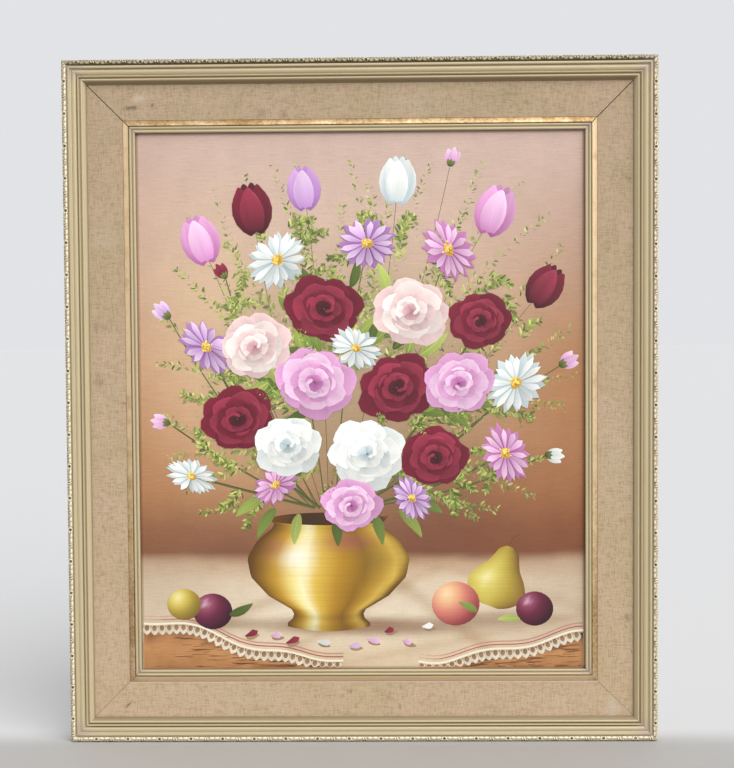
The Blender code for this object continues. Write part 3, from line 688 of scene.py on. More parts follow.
    # brown glaze and painted shade in the quirk beside the bead
    quirkGlazeAndShade = np.where(np.arange(beadColumns) == 0, 0.6, 0.15 * (np.arange(beadColumns) == 1))
    values = dict(groove=np.concatenate([np.broadcast_to(glazeAndShade, plainAlong.shape).ravel(),
                                         np.broadcast_to(quirkGlazeAndShade, beadAlong.shape).ravel()]),
                  relief=np.clip(np.concatenate([np.full(plainCount, 0.5), relief.ravel()]), 0, 1),
                  retouch=retouch)
    return buildPiece("carved_moulding_" + side, "outer_moulding_" + side, points, faces,
                      np.concatenate(grain), values, [lacquer, limewood], faceMaterials,
                      40)


for side in sides:
    makeMoulding(side)
print("outer moulding carved")


# Inner slip
slip = dict(innerReed=2.6, groove=1.7, outerReed=2.0, shoulder=0.9, reedRise=0.8, grooveDepth=0.9,
            sightDrop=0.6, cover=6.0, lip=5.0, arris=0.15, stations=81)


def slipProfile():
    # the reeded lip over the canvas and the leg beside it, as (place, level, glaze)
    s = slip
    under = slipCrest - s["lip"]
    base = slipCrest - s["reedRise"]
    edge = bevelInner - jointGap
    leg = s["cover"] + jointGap
    start = np.array([[0, under], [0, base - s["sightDrop"]]])
    inner = arcReed(0, s["innerReed"], base, s["reedRise"])[1:]
    middle = np.array([[s["innerReed"] + s["groove"] / 2, base - s["grooveDepth"]]])
    outer = arcReed(s["innerReed"] + s["groove"], s["outerReed"], base, s["reedRise"])
    rest = np.array([[edge, base - s["grooveDepth"]], [edge, under], [slipOuter, under],
                     [slipOuter, slipBack], [leg, slipBack], [leg, under]])
    return np.concatenate([start, inner, middle, outer, rest])


def slipGlazeAndShade(along, place, level):
    # brown glaze and painted shade deepen downwards on the edge over the canvas and between the reeds, and
    # are thin elsewhere
    grooveLevel = slipCrest - slip["reedRise"] - slip["grooveDepth"]
    edge = 0.95 * smooth(-level, 1.0 - slipCrest, 2.0 - slipCrest)
    between = 0.75 * smooth(-level, 0.5 - slipCrest, -grooveLevel)
    return np.select([place < 0.1, place < 8], [edge, between], 0.3)


def touchedEnds(side):
    # retouching on the last 9 mm of a length
    def rule(along, place, level):
        return 0.55 * (1 - smooth(sides[side]["half"] - np.abs(along), 0, 9))
    return rule


slipShape = softened(slipProfile(), slip["arris"], 40)
for side in sides:
    plainRail("reeded_slip", "inner_slip", side, slipShape, (jointGap, jointGap), slip["stations"], [lacquer],
              np.zeros(len(slipShape), int),
              values=dict(groove=slipGlazeAndShade, relief=lambda along, place, level: 0.5 + 0 * level,
                          retouch=touchedEnds(side)))
print("inner slip made")


# Gilt bevel
bevel = dict(land=0.8, toe=0.3, arris=0.12, stations=121, openMitre=1.0, topWearAndShade=0.29, bottomWearAndShade=-0.12,
             lowWearAndShade=0.3, endWear=0.35)
openEnds = {"top": (1, 1), "right": (1, 0), "bottom": (0, 0), "left": (0, 1)}


def mitreGaps(side):
    return [bevel["openMitre"] if opened else jointGap for opened in openEnds[side]]


bevelShape = softened([[bevelInner, bevelSeat], [bevelInner, bevelTop],
                       [bevelInner + bevel["land"], bevelTop], [bevelOuter, linenLevel + bevel["toe"]],
                       [bevelOuter, bevelSeat]], bevel["arris"], 20)


def bevelWearAndShade(side):
    # how worn the leaf is, and how far each side is dulled as painted shade: evenly on top, more towards the
    # foot of the sides, least along the bottom but for its ends
    def rule(along, place, level):
        usual = {"top": bevel["topWearAndShade"] + 0 * along, "bottom": bevel["bottomWearAndShade"] + 0 * along,
                 "left": bevel["lowWearAndShade"] * smooth(-along, -60, 260), "right": bevel["lowWearAndShade"]
                 * smooth(along, -20, 270)}[side]
        ends = bevel["endWear"] * (1 - smooth(sides[side]["half"] + 12 - np.abs(along), 0,
                                              16)) if side == "bottom" else 0
        return usual + ends + 0.06 * wavy(along, 30, 5, 120) + 0.05 * smooth(place, bevelInner + 3,
                                                                             bevelOuter)
    return rule


for side in sides:
    plainRail("leafed_bevel", "gilt_bevel", side, bevelShape, mitreGaps(side), bevel["stations"], [leaf],
              np.zeros(len(bevelShape), int), values=dict(wornAndShaded=bevelWearAndShade(side)))
print("gilt bevel made")


# Linen liner
liner = dict(stations=241, acrossStep=1.8, arris=0.5, padding=0.12,
             offsets=dict(top=0.0, right=0.37, bottom=0.71, left=1.13))
# stains and pale patches: side, distance along, place, half length, half width, turn in degrees, strength
stains = [("top", -253, 28.0, 6.2, 1.7, 3, 1.0), ("top", -249, 28.2, 3.0, 2.1, 0, 1.0),
          ("top", -228.5, 30.6, 1.4, 1.7, 0, 1.0), ("top", -98.7, 51.2, 1.2, 1.6, 0, 0.6),
          ("top", -83.5, 18.6, 2.6, 5.0, 0, 0.38), ("top", -108, 20, 4.5, 5, 0, 0.25),
          ("top", -48.6, 45.5, 1.2, 1.4, 0, 0.45), ("top", -130, 41.5, 1.8, 0.8, 0, 0.5),
          ("top", 160, 40, 12, 8, 10, 0.15), ("left", 84, 46.5, 6.0, 2.6, 0, 0.42),
          ("left", 84, 38, 2.2, 8.0, 0, 0.25), ("left", 24, 43.5, 7.0, 4.4, 0, 0.36),
          ("left", 0, 16.5, 1.2, 3.2, 0, 0.45), ("left", -118, 33, 3, 2, 0, 0.3),
          ("right", 243, 47, 4.6, 4.4, 0, 0.42), ("right", 252, 44.5, 1.2, 1.6, 0, 0.5),
          ("right", 280, 52, 1.1, 1.1, 0, 0.7), ("right", -245, 48, 4, 3, 30, 0.35),
          ("bottom", 263.6, 39.6, 5.0, 1.0, 52, 0.85), ("bottom", 14.5, 26.1, 1.5, 1.4, 0, 0.8),
          ("bottom", -41, 44, 0.6, 5.4, 0, 0.55), ("bottom", -41, 49.3, 0.9, 1.0, 0, 0.8),
          ("bottom", -42.7, 20, 0.5, 4.5, 0, 0.4), ("bottom", -140, 44, 8, 3, 0, 0.12)]
fadedPatches = [("top", -243, 38.5, 7, 3.2, 20, 0.45), ("bottom", -278, 44, 6, 8, 0, 0.5),
                ("left", 180, 34, 9, 16, 0, 0.15), ("top", 60, 30, 26, 12, 0, 0.12),
                ("right", 60, 34, 30, 12, 0, 0.12), ("bottom", 120, 32, 30, 10, 0, 0.12)]


def marks(side, listed, softness):
    # each mark is an oval whose strength falls off from its middle as a bell curve
    def rule(along, place, level):
        total = 0 * along
        for where, centre, middle, long, wide, turn, strength in listed:
            if where == side:
                cosine, sine = math.cos(math.radians(turn)), math.sin(math.radians(turn))
                a = (along - centre) * cosine + (place - middle) * sine
                b = (place - middle) * cosine - (along - centre) * sine
                ragged = 1 + 0.35 * wavy(a * 3 + b * 5, 17, 4, 14)
                bell = np.exp(-((a / long) ** 2 + (b / wide) ** 2) * ragged * softness)
                total = np.maximum(total, strength * bell)
        return total
    return rule


def fadedPatchesAndRimHighlight(side):
    # pale faded patches, and along the bottom a painted highlight on the cloth's inner rim
    patches = marks(side, fadedPatches, 0.8)

    def rule(along, place, level):
        rim = 0.8 * (1 - smooth(place, bevelOuter + 1.0, bevelOuter + 2.2)) if side == "bottom" else 0
        return np.maximum(patches(along, place, level), rim)
    return rule


def linerProfile():
    # the step under the bevel, the flat linen face in narrow strips, the hidden outer edge and the back
    under = slipCrest - slip["lip"]
    face = np.arange(bevelOuter + jointGap + liner["acrossStep"], linerOuter - 1, liner["acrossStep"])
    face = np.stack([face, np.full_like(face, linenLevel)], 1)
    return np.concatenate([[[linerInner, linerBack], [linerInner, under], [bevelOuter + jointGap, under],
                            [bevelOuter + jointGap, linenLevel]], face,
                           [[linerOuter, linenLevel], [linerOuter, linerBack]]])


def linerSwell(along, place, level):
    # cloth is a little slack: it sinks by up to twice the padding on a slow wave, and at its edges
    face = level > linenLevel - 0.01
    slack = liner["padding"] * (0.8 + wavy(along * 1.7 + place * 3, 41, 4, 170))
    edge = smooth(place, bevelOuter, bevelOuter + 2.5)
    return place, level - np.where(face, np.clip(slack, 0, 1) * edge + 0.15 * (1 - edge), 0)


linerShape = softened(linerProfile(), liner["arris"], 40)
linenFace = (linerShape[:, 1] > slipCrest - slip["lip"] + 0.1).astype(int)
for side in sides:
    cloth = wovenLinen(liner["offsets"][side])
    plainRail("covered_liner", "linen_liner", side, linerShape, mitreGaps(side), liner["stations"],
              [limewood, cloth], linenFace, linerSwell,
              dict(stain=marks(side, stains, 1.0), fadedAndRimLight=fadedPatchesAndRimHighlight(side)))
print("linen liner made")


# Stretcher
stretcher = dict(rim=6.0, relief=2.0, arris=0.8, stations=61)
barShape = softened([[barOuter, barBack], [barOuter, barFront], [barOuter - stretcher["rim"], barFront],
                     [barInner, barFront - stretcher["relief"]], [barInner, barBack]], stretcher["arris"], 12)
for side in sides:
    plainRail("pine_bar", "stretcher_bar", side, barShape, (jointGap, jointGap), stretcher["stations"],
              [pine], np.zeros(len(barShape), int))
print("stretcher made")


# Painted canvas: a still life of roses, tulips and daisies in a low brass bowl with fruit. Sizes are in mm;
# layer is what one stroke adds to the height of the paint, cell the side of a square on the map of heights.
canvas = dict(cellsAcross=128, cellsUp=152, coarser=4, foldRadius=1.5, cloth=0.8, turnover=22.0,
              backLevel=0.5, layer=0.018, rimDip=0.06, sightClear=0.3, inset=0.05, cell=2.0, seed=20)
clothTop = canvasFace - canvas["inset"]
paintRng = np.random.default_rng(canvas["seed"])
picture = dict(horizon=-176.0, heart=(-30.0, -118.0), stemWidth=3.4, leafStrokes=56, woodStrokes=260)


def mixColours(low, high, amount):
    # straight from low to high as the amount goes from 0 to 1
    return low + (high - low) * np.asarray(amount)[..., None]


def groundColour(u, v):
    # Broad areas: a vertical run of colours, darker and redder towards the lower right, a warm glow behind
    # the bouquet, the cream cloth below the horizon with soft folds and cast shadows. u runs right and v up,
    # in mm.
    stops = [(-299, "#D9C3A2"), (-235, "#E6D6BC"), (-200, "#DCC8AC"), (-181, "#C3A283"), (-168, "#784527"),
             (-140, "#87512D"), (-95, "#AF7848"), (-40, "#BF8C60"), (30, "#CA9E78"), (110, "#D0AD90"),
             (190, "#D2B4A0"), (299, "#CFB3A6")]
    heights = np.array([s[0] for s in stops], float)
    tones = np.array([hexColour(s[1]) for s in stops])
    wobble = v + 5 * wavy(u + 0.3 * v, 51, 4, 260) * smooth(v, -230, -120)
    colour = np.stack([np.interp(wobble, heights, tones[:, k]) for k in range(3)], -1)
    above = smooth(v, picture["horizon"] - 4, picture["horizon"] + 10)
    dusk = smooth(u - 0.25 * v, 20, 280) * above * (1 - smooth(v, 160, 320)) * 0.44
    colour = mixColours(colour, hexColour("#8A5234"), dusk)
    edge = smooth(-u - 0.1 * v, 130, 270) * above * 0.22
    colour = mixColours(colour, hexColour("#A87B5C"), edge)

    def blended(colour, listed, where):
        # soft oval areas, listed as middle, half length, half height, power of the falloff, strength and tint
        for u0, v0, long, high, power, strength, tint in listed:
            oval = np.exp(-(((u - u0) / long) ** 2 + ((v - v0) / high) ** 2) ** power)
            colour = mixColours(colour, hexColour(tint), oval * where * strength)
        return colour

    colour = blended(colour, [(-165, 70, 62, 130, 1, 0.5, "#E2C297")], above)
    flanks = smooth(np.abs(u), 90, 260) * (1 - above) * 0.55
    colour = mixColours(colour, hexColour("#B8A084"), flanks)
    colour = blended(colour, [(-20, 40, 150, 170, 1, 0.30, "#E8CDB9")], above)
    folds = sum(h * np.exp(-(((u - u0) * c - (v - v0) * s) / w) ** 2) for u0, v0, c, s, w, h in (
        (-150, -240, 0.35, 0.94, 7, 0.5), (-70, -272, 0.5, 0.87, 6, 0.4), (120, -262, 0.6, -0.8, 8, 0.5),
        (190, -214, 0.3, -0.95, 6, 0.4), (20, -285, 0.2, 0.98, 6, 0.35)))
    colour = mixColours(colour, hexColour("#B99A77"), np.clip(folds, 0, 1) * (1 - above))
    # shadows cast on the cloth, then amber at the right, dull green in the bouquet and shade beneath it
    colour = blended(colour, [(25, -252, 120, 10, 1.5, 0.75, "#8A6446"),
                              (-35, -249, 84, 9, 1.5, 0.6, "#8A6446"),
                              (150, -243, 66, 9, 1.5, 0.6, "#8A6446"),
                              (-160, -248, 50, 7, 1.5, 0.55, "#8A6446")], 1 - above)
    colour = blended(colour, [(240, 30, 60, 90, 1, 0.55, "#AD7642"), (-5, 15, 150, 135, 2, 0.55, "#8F8160"),
                              (75, -120, 95, 70, 1.3, 0.5, "#6B3A24")], above)
    # painted light: the paint is paler under the top lip and, less so, the left lip, against the slip's shade
    paintedLightUnderLip = np.maximum(smooth(v, sightHalfHeight - 9, sightHalfHeight),
                        0.6 * smooth(-u, sightHalfWidth - 7, sightHalfWidth))
    colour = colour * (1 + 0.16 * paintedLightUnderLip)[..., None]
    # painted shadow: a dark brown line along the very edge of the sight, under the slip
    rim = np.maximum(smooth(np.abs(u), sightHalfWidth - 2.6, sightHalfWidth - 0.4),
                     smooth(np.abs(v), sightHalfHeight - 2.6, sightHalfHeight - 0.4))
    return mixColours(colour, hexColour("#5E3C28"), 0.75 * rim ** 2)


# A batch is many strokes of one grid size: outlines (strokes, n, m, 2) in mm, colours (strokes, n, m, 3),
# grain (strokes, n, m, 2) and how thinly the paint lies. Batches are laid in painting order.
batches = []
edgeAlong = {4: [0, 0.25, 0.75, 1], 9: [0, 0.035, 0.16, 0.34, 0.54, 0.74, 0.88, 0.965, 1], 16: None, 24: None}
edgeAcross = {3: [-1, 0, 1], 5: [-1, -0.9, 0, 0.9, 1], 7: [-1, -0.93, -0.55, 0, 0.55, 0.93, 1]}


def strokeGrid(n, m):
    s = np.array(edgeAlong.get(n) or np.concatenate([[0, 0.01], np.linspace(0.04, 0.96, n - 4), [0.99, 1]]))
    t = np.array(edgeAcross.get(m) or np.concatenate([[-1, -0.985], np.linspace(-0.92, 0.92, m - 4),
                                                      [0.985, 1]]))
    return s[None, :, None], t[None, None, :]


def column(value, count):
    return np.broadcast_to(np.asarray(value, float), (count,))[:, None, None]


def touches(base, angle, length, width, colours, shape="petal", bend=0.0, n=9, m=7, squash=(0.0, 1.0),
            centre=None, thin=0.0, streak=0.10, light=2.2):
    # Strokes that start at base, run length at angle and bend by so many radians. A petal widens to a round
    # tip, a blade is pointed at both ends, a cup is widest at its middle. squash turns the flower away from
    # the viewer: its first value is the direction, its second the height left over.
    base = np.atleast_2d(base).astype(float)
    count = len(base)
    s, t = strokeGrid(n, m)
    length, width, bend, angle = (column(v, count) for v in (length, width, bend, angle))
    if shape == "petal":
        half = 0.16 + 0.84 * np.sin(np.pi / 2 * np.clip(s * 1.25, 0, 1)) ** 1.1
        run = (s * (1 - 0.30 * np.abs(t) ** 2.4 * s ** 2)
               - 0.035 * np.cos(t * 9 + column(paintRng.uniform(0, 6, count), count)) * s ** 4)
    elif shape == "blade":
        half = np.sin(np.pi * np.clip(s * 0.985 + 0.008, 0, 1) ** 0.8) ** 0.85
        run = s + 0 * t
    else:
        half = np.sin(np.pi * (0.12 + 0.8 * s ** 0.9)) ** 0.7
        run = s * (1 - 0.12 * np.abs(t) ** 2 * s)
    heading = angle + bend * s
    across = heading + np.pi / 2
    mid = angle + bend * s / 2
    x = np.cos(mid) * run * length + np.cos(across) * half * t * width / 2
    y = np.sin(mid) * run * length + np.sin(across) * half * t * width / 2
    outline = np.stack(np.broadcast_arrays(x, y), -1) + base[:, None, None]
    if centre is not None and squash[1] != 1:
        away = outline - np.asarray(centre)
        axis = np.array([math.cos(squash[0]), math.sin(squash[0])])
        outline = outline - (away @ axis)[..., None] * axis * (1 - squash[1])
    colours = np.broadcast_to(np.asarray(colours, float),
                              (count, 2, 3)) if np.ndim(colours) == 2 else np.asarray(colours)
    blend = np.clip(s ** 0.9 + 0 * t, 0, 1)
    tone = mixColours(colours[:, None, None, 0], colours[:, None, None, 1],
                      np.broadcast_to(blend, (count, n, m)))
    sun = 1 + 0.16 * np.cos(angle - light) + 0.07 * t * np.sin(angle - light)
    strip = 1 + streak * np.sin(t * 7 + column(paintRng.uniform(0, 6, count), count)) * np.sin(s * 3)
    tone = tone * (sun * strip)[..., None]
    grain = np.stack(np.broadcast_arrays(s * length + 40 * angle, t * width / 2 + 0 * s + 31 * angle), -1)
    batches.append((outline, np.clip(tone, 0, 1), grain, thin))


def hexes(*texts):
    return np.array([hexColour(text) for text in texts])


palettes = {
    "maroon": hexes("#3A0A18", "#7A1730", "#54101F", "#9A2F47"),
    "pink": hexes("#A5568F", "#E3A6D3", "#C983BA", "#F2CBE6"),
    "lilac": hexes("#8F5E9C", "#CFA0D6", "#B583C0", "#E8CBEA"),
    "white": hexes("#A8BCC4", "#EEF1EC", "#CFDAD9", "#FCFBF4"),
    "blush": hexes("#C08A96", "#F3D6D2", "#DDB2B4", "#FBEDE6"),
}


def petalColours(count, palette, root=0, tip=1, spread=0.12):
    # a colour at the root and one at the tip for each petal, each petal a little lighter or darker
    pair = np.stack([palettes[palette][root], palettes[palette][tip]])
    varied = pair[None] * (1 + paintRng.uniform(-spread, spread, (count, 2, 1)))
    return np.clip(varied, 0, 1)


def ringOf(centre, reach, count, start, length, width, colours, jitter=0.10, **rest):
    # petals that stand round a centre, turned and sized a little unevenly
    angle = start + np.arange(count) * 2 * np.pi / count + paintRng.uniform(-jitter, jitter, count)
    base = np.asarray(centre) + np.stack([np.cos(angle), np.sin(angle)], 1) * reach
    sizes = paintRng.uniform(0.9, 1.08, count)
    touches(base, angle, length * sizes, width * sizes, colours, centre=centre, **rest)


def rose(centre, radius, palette, tilt=(1.6, 0.86)):
    # whorls of broad petals, each whorl shorter and turned against the last, round a dark tight heart
    start = paintRng.uniform(0, 6)
    ringOf(centre, radius * 0.10, 7, start, radius * 0.92, radius * 0.88, petalColours(7, palette, 0, 1),
           squash=tilt)
    ringOf(centre, radius * 0.08, 6, start + 0.5, radius * 0.74, radius * 0.74,
           petalColours(6, palette, 2, 3), squash=tilt)
    ringOf(centre, radius * 0.06, 6, start + 0.9, radius * 0.54, radius * 0.56,
           petalColours(6, palette, 0, 1), squash=tilt)
    ringOf(centre, radius * 0.04, 5, start + 0.2, radius * 0.38, radius * 0.42,
           petalColours(5, palette, 2, 3), squash=tilt)
    ringOf(centre, radius * 0.02, 4, start + 0.7, radius * 0.22, radius * 0.30,
           petalColours(4, palette, 0, 2), squash=tilt)
    curls = start + np.arange(7) * 0.95
    base = np.asarray(centre) + np.stack([np.cos(curls), np.sin(curls)],
                                         1) * radius * np.linspace(0.08, 0.62, 7)[:, None]
    touches(base, curls + 1.25, radius * np.linspace(0.2, 0.5, 7), radius * 0.10,
            petalColours(7, palette, 3, 3), shape="blade", bend=1.5, centre=centre, squash=tilt)


def daisy(centre, radius, palette, tilt=(1.6, 0.8), count=15):
    # many narrow petals in two layers round a domed yellow eye of small dabs
    start = paintRng.uniform(0, 6)
    ringOf(centre, radius * 0.12, count, start, radius * 0.88, radius * 0.27,
           petalColours(count, palette, 0, 2), squash=tilt, m=5)
    ringOf(centre, radius * 0.12, count - 2, start + 0.2, radius * 0.80, radius * 0.22,
           petalColours(count - 2, palette, 2, 3), squash=tilt, m=5)
    ringOf(centre, 0.0, 8, start, radius * 0.2, radius * 0.17, np.stack([hexes("#B4761B", "#E9B53A")] * 8),
           squash=tilt, m=5)
    spots = paintRng.normal(0, radius * 0.075, (22, 2)) + np.asarray(centre) + (-radius * 0.02, radius * 0.03)
    touches(spots, paintRng.uniform(0, 6, 22), radius * 0.075, radius * 0.065,
            np.stack([hexes("#F4D257", "#FFE88A")] * 22), shape="blade", n=4, m=3)


def tulip(centre, size, palette, angle=math.pi / 2):
    # a cup of petals that rise from one foot: two behind, two at the sides, one in front
    foot = np.asarray(centre) - np.array([math.cos(angle), math.sin(angle)]) * size * 0.5

    def fan(offsets, length, width, root, tip):
        touches(np.repeat(foot[None], len(offsets), 0), angle + np.array(offsets), size * length,
                size * width, petalColours(len(offsets), palette, root, tip), shape="cup",
                bend=-np.array(offsets) * 1.3)

    fan([-0.22, 0.22], 1.02, 0.46, 0, 2)
    fan([-0.55, 0.55], 0.98, 0.50, 0, 1)
    fan([0.05], 0.93, 0.52, 2, 3)


def bud(centre, size, palette, angle):
    # three small cups of petal, held by three green sepals
    touches(np.repeat([centre], 3, 0), angle + np.array([-0.4, 0.4, 0.0]), size * np.array([0.9, 0.9, 1.0]),
            size * 0.5, petalColours(3, palette, 2, 3), shape="cup")
    touches(np.repeat([centre], 3, 0) - 0.12 * size * np.array([math.cos(angle), math.sin(angle)]),
            angle + np.array([-0.5, 0.5, 0.0]), size * 0.45, size * 0.24,
            np.stack([hexes("#3F4A1E", "#7C8542")] * 3), shape="blade")


def curve(start, end, bow, count):
    # points of a shallow arc between two points; bow is the height of the arc in mm, to the left of the way
    s = np.linspace(0, 1, count)[:, None]
    start, end = np.asarray(start, float), np.asarray(end, float)
    way = end - start
    left = np.array([-way[1], way[0]]) / max(np.hypot(*way), 1e-6)
    return start + way * s + left * bow * 4 * s * (1 - s)


def ribbon(start, end, bow, width, colours, thin=0.0, taper=0.5):
    # a stem: one long stroke along an arc, darker on its right side
    n, m = 16, 3
    s, t = strokeGrid(n, m)
    path = curve(start, end, bow, 200)[np.round(s[0, :, 0] * 199).astype(int)]
    way = np.gradient(path, axis=0)
    left = np.stack([-way[:, 1], way[:, 0]], 1) / np.hypot(way[:, 0], way[:, 1])[:, None]
    half = width / 2 * (1 - taper * s[0, :, 0])
    outline = path[:, None] + left[:, None] * (half[:, None] * t[0])[..., None]
    tone = mixColours(colours[0], colours[1], np.broadcast_to((t[0] + 1) / 2, (n, m)))
    run = np.concatenate([[0], np.cumsum(np.hypot(*np.diff(path, axis=0).T))])
    grain = np.stack(np.broadcast_arrays(run[:, None], half[:, None] * t[0]), -1)
    batches.append((outline[None], tone[None], grain[None], thin))


greens = hexes("#55662A", "#70833A", "#8C9C48", "#A5B25C", "#BCC172", "#7F8A40")


def spray(start, end, bow, spread, dabs, size=4.2, pale=0.0):
    # feathery foliage: short dabs in pairs along an arc, standing away from it and shorter towards its end,
    # and loose dabs strewn about it
    pairs = np.repeat(np.linspace(0.04, 1, dabs // 3), 2)
    s = np.clip(np.concatenate([pairs, paintRng.uniform(0.05, 1, dabs // 3)])
                + paintRng.normal(0, 0.008, len(pairs) + dabs // 3), 0, 1)
    count = len(s)
    path = curve(start, end, bow, 100)
    at = path[np.round(s * 99).astype(int)]
    way = np.gradient(path, axis=0)[np.round(s * 99).astype(int)]
    heading = np.arctan2(way[:, 1], way[:, 0])
    side = np.where(np.arange(count) % 2 == 0, -1, 1)
    loose = np.arange(count) >= len(pairs)
    off = np.where(loose, np.abs(paintRng.normal(0, 1, count)) * spread, 0.3) * (1.1 - 0.7 * s)
    base = at + np.stack([-np.sin(heading), np.cos(heading)], 1) * (side * off)[:, None]
    pick = greens[paintRng.integers(0, len(greens), count)] * paintRng.uniform(0.9, 1.2, (count, 1))
    pick = mixColours(pick, hexColour("#B9AE7C"), np.full(count, pale))
    touches(base, heading + side * paintRng.uniform(0.5, 1.2, count),
            size * paintRng.uniform(0.7, 1.3, count) * (1.15 - 0.5 * s),
            size * paintRng.uniform(0.30, 0.46, count), np.stack([pick, pick * 1.12], 1), shape="blade",
            n=4, m=3)


def leaves(base, angle, length, width, bend=0.4):
    # pointed leaves, each with a pale midrib
    count = len(base)
    pick = greens[paintRng.integers(0, 4, count)]
    touches(base, angle, length, width, np.stack([pick * 0.8, pick * 1.25], 1), shape="blade", bend=bend, m=5)
    touches(base, angle, np.asarray(length) * 0.93, np.full(count, 1.3),
            np.stack([pick * 1.6, pick * 1.5], 1), shape="blade", bend=bend, m=3)


def solidForm(centre, n, m, outlineRule, colourRule, thin=0.0):
    # one large stroke whose outline and colour are functions of s (up) and t (across)
    s, t = strokeGrid(n, m)
    s, t = np.broadcast_arrays(s[0], t[0])
    x, y = outlineRule(s, t)
    outline = np.stack([x, y], -1) + np.asarray(centre, float)
    batches.append((outline[None], colourRule(s, t)[None], outline[None] * [0.25, 1.0], thin))


def ramp(value, stops):
    # colours run through straight from stop to stop
    places = [s[0] for s in stops]
    tones = np.array([hexColour(s[1]) for s in stops])
    return np.stack([np.interp(value, places, tones[:, k]) for k in range(3)], -1)


def hem(u):
    # the front edge of the cloth: it sags to the middle and rises at both sides in slack waves
    return (-292 + 46 * smooth(-u, 20, 250) ** 1.2 + 30 * smooth(u, 70, 260) ** 1.1 + 4 * np.sin(u / 17.0)
            * smooth(np.abs(u), 10, 90))


def tableEdge():
    # the wood under the cloth's hem at both sides, with strokes of grain
    for low, high in ((-247.5, -25.0), (62.0, 247.5)):
        rule = lambda s, t: (low + (high - low) * s, hem(low + (high - low) * s) * (1 + t) / 2
                             - 298.5 * (1 - t) / 2)
        wood = lambda s, t: mixColours(ramp((t + 1) / 2 + 0.1 * np.sin(40 * s),
                                            [(0, "#A06C40"), (0.55, "#C48C58"), (0.9, "#7A4A29"),
                                             (1, "#5E371F")]), hexColour("#C9955E"),
                                       0.35 * (0.5 + 0.5 * np.sin(25 * s + 6 * t)))
        solidForm((0, 0), 24, 9, rule, wood, 0.9)
    count = picture["woodStrokes"]
    u = np.where(paintRng.random(count) < 0.55, paintRng.uniform(-246, -60, count),
                 paintRng.uniform(110, 246, count))
    low = hem(u) - 4
    v = -299 + (low + 299) * paintRng.random(count)
    keep = low > -296
    length = paintRng.uniform(10, 30, count)
    u, v = np.minimum(u, 246 - length), np.maximum(v, -297)
    pick = hexes("#7A4B29", "#9C6A3C", "#C08C57", "#5F3820")[paintRng.integers(0, 4, count)]
    touches(np.stack([u, v], 1)[keep], np.abs(paintRng.normal(0.03, 0.05, count))[keep], length[keep],
            paintRng.uniform(0.8, 1.8, count)[keep], np.stack([pick, pick * 1.1], 1)[keep], shape="blade",
            n=4, m=3)
    # a scalloped edging hangs over the wood, and a thin double line runs along it on the cloth
    for low, high in ((-246.0, -22.0), (62.0, 246.0)):
        u = np.arange(low + 4, high - 4, 8.2)
        slope = np.arctan2(hem(u + 1) - hem(u - 1), 2.0)
        for lift, drop, wide in ((0.2, 10.5, 9.6), (0.6, 6.6, 5.6)):
            base = np.stack([u, hem(u) + lift], 1)
            tone = hexes("#D9C8AA", "#F6ECD8") if drop > 8 else hexes("#8E6A48", "#B08C66")
            touches(base, slope - np.pi / 2, np.minimum(drop, hem(u) + 298), wide,
                    np.stack([tone] * len(u)), shape="cup", m=5)
        for lift, tint in ((2.4, "#F4E9D2"), (7.0, "#B4554A"), (10.6, "#C98878")):
            u = np.linspace(low, high, 24)
            for a, b in zip(u[:-1], u[1:]):
                ribbon((a, hem(a) + lift), (b, hem(b) + lift), 0.0, 2.4 if lift < 5 else 1.1,
                       hexes(tint, tint), taper=0.0)


def bowl():
    # a low brass bowl on a foot: half width by height, bright and dark bands across as polished metal shows
    # them
    middleU, foot, height = -38.0, -252.0, 126.0

    def halfWidth(s):
        return np.interp(s, [0, 0.03, 0.10, 0.16, 0.28, 0.45, 0.62, 0.78, 0.88, 0.93, 0.965, 1.0],
                         [46, 48, 38, 42, 68, 88, 92, 80, 64, 60, 66, 68])

    def outline(s, t):
        # a level line bows down at its middle, as seen from a little above
        return halfWidth(s) * t, height * s - 6 * (1 - t ** 2) * np.where(s > 0.9, -0.2,
                                                                          1 - s) - 5 * (1 - t ** 2) * s

    def brass(s, t):
        across = ramp(t + 0.05 * np.sin(7 * s), [(-1, "#5B3A0E"), (-0.86, "#8C6418"), (-0.66, "#C99A2E"),
                                                 (-0.48, "#F2DE85"), (-0.34, "#FFF6C4"), (-0.18, "#E3BE4C"),
                                                 (0.1, "#B98A24"), (0.42, "#8D6415"), (0.64, "#B98D2C"),
                                                 (0.82, "#D9B64E"), (0.93, "#8A6418"), (1, "#57380F")])
        shade = (0.42 * smooth(-s, -0.2, 0.02) + 0.30 * np.exp(-((s - 0.135) / 0.03) ** 2)
                 + 0.35 * np.exp(-((s - 0.905) / 0.022) ** 2))
        tone = mixColours(across, hexColour("#4A2F0C"), shade)
        glint = np.exp(-(((t + 0.4) / 0.16) ** 2 + ((s - 0.66) / 0.10) ** 2))
        tone = mixColours(tone, hexColour("#FFFDF0"), 0.85 * glint)
        rosy = (np.exp(-(((t - 0.25) / 0.35) ** 2 + ((s - 0.80) / 0.07) ** 2))
                + 0.7 * np.exp(-(((t + 0.72) / 0.12) ** 2 + ((s - 0.74) / 0.08) ** 2)))
        tone = mixColours(tone, hexColour("#9C4A5C"), 0.55 * rosy)
        leafy = np.exp(-(((t - 0.62) / 0.2) ** 2 + ((s - 0.62) / 0.12) ** 2))
        return mixColours(tone, hexColour("#7A7430"), 0.35 * leafy)
    solidForm((middleU, foot), 28, 25, outline, brass)
    mouth = lambda s, t: ((s * 2 - 1) * 64, 7.5 * t * np.sqrt(1 - (s * 1.96 - 0.98) ** 2))
    solidForm((middleU, foot + height - 4.5), 24, 7, mouth, lambda s,
              t: ramp(s, [(0, "#6B4310"), (0.3, "#3B2410"), (1, "#5A3A12")]))


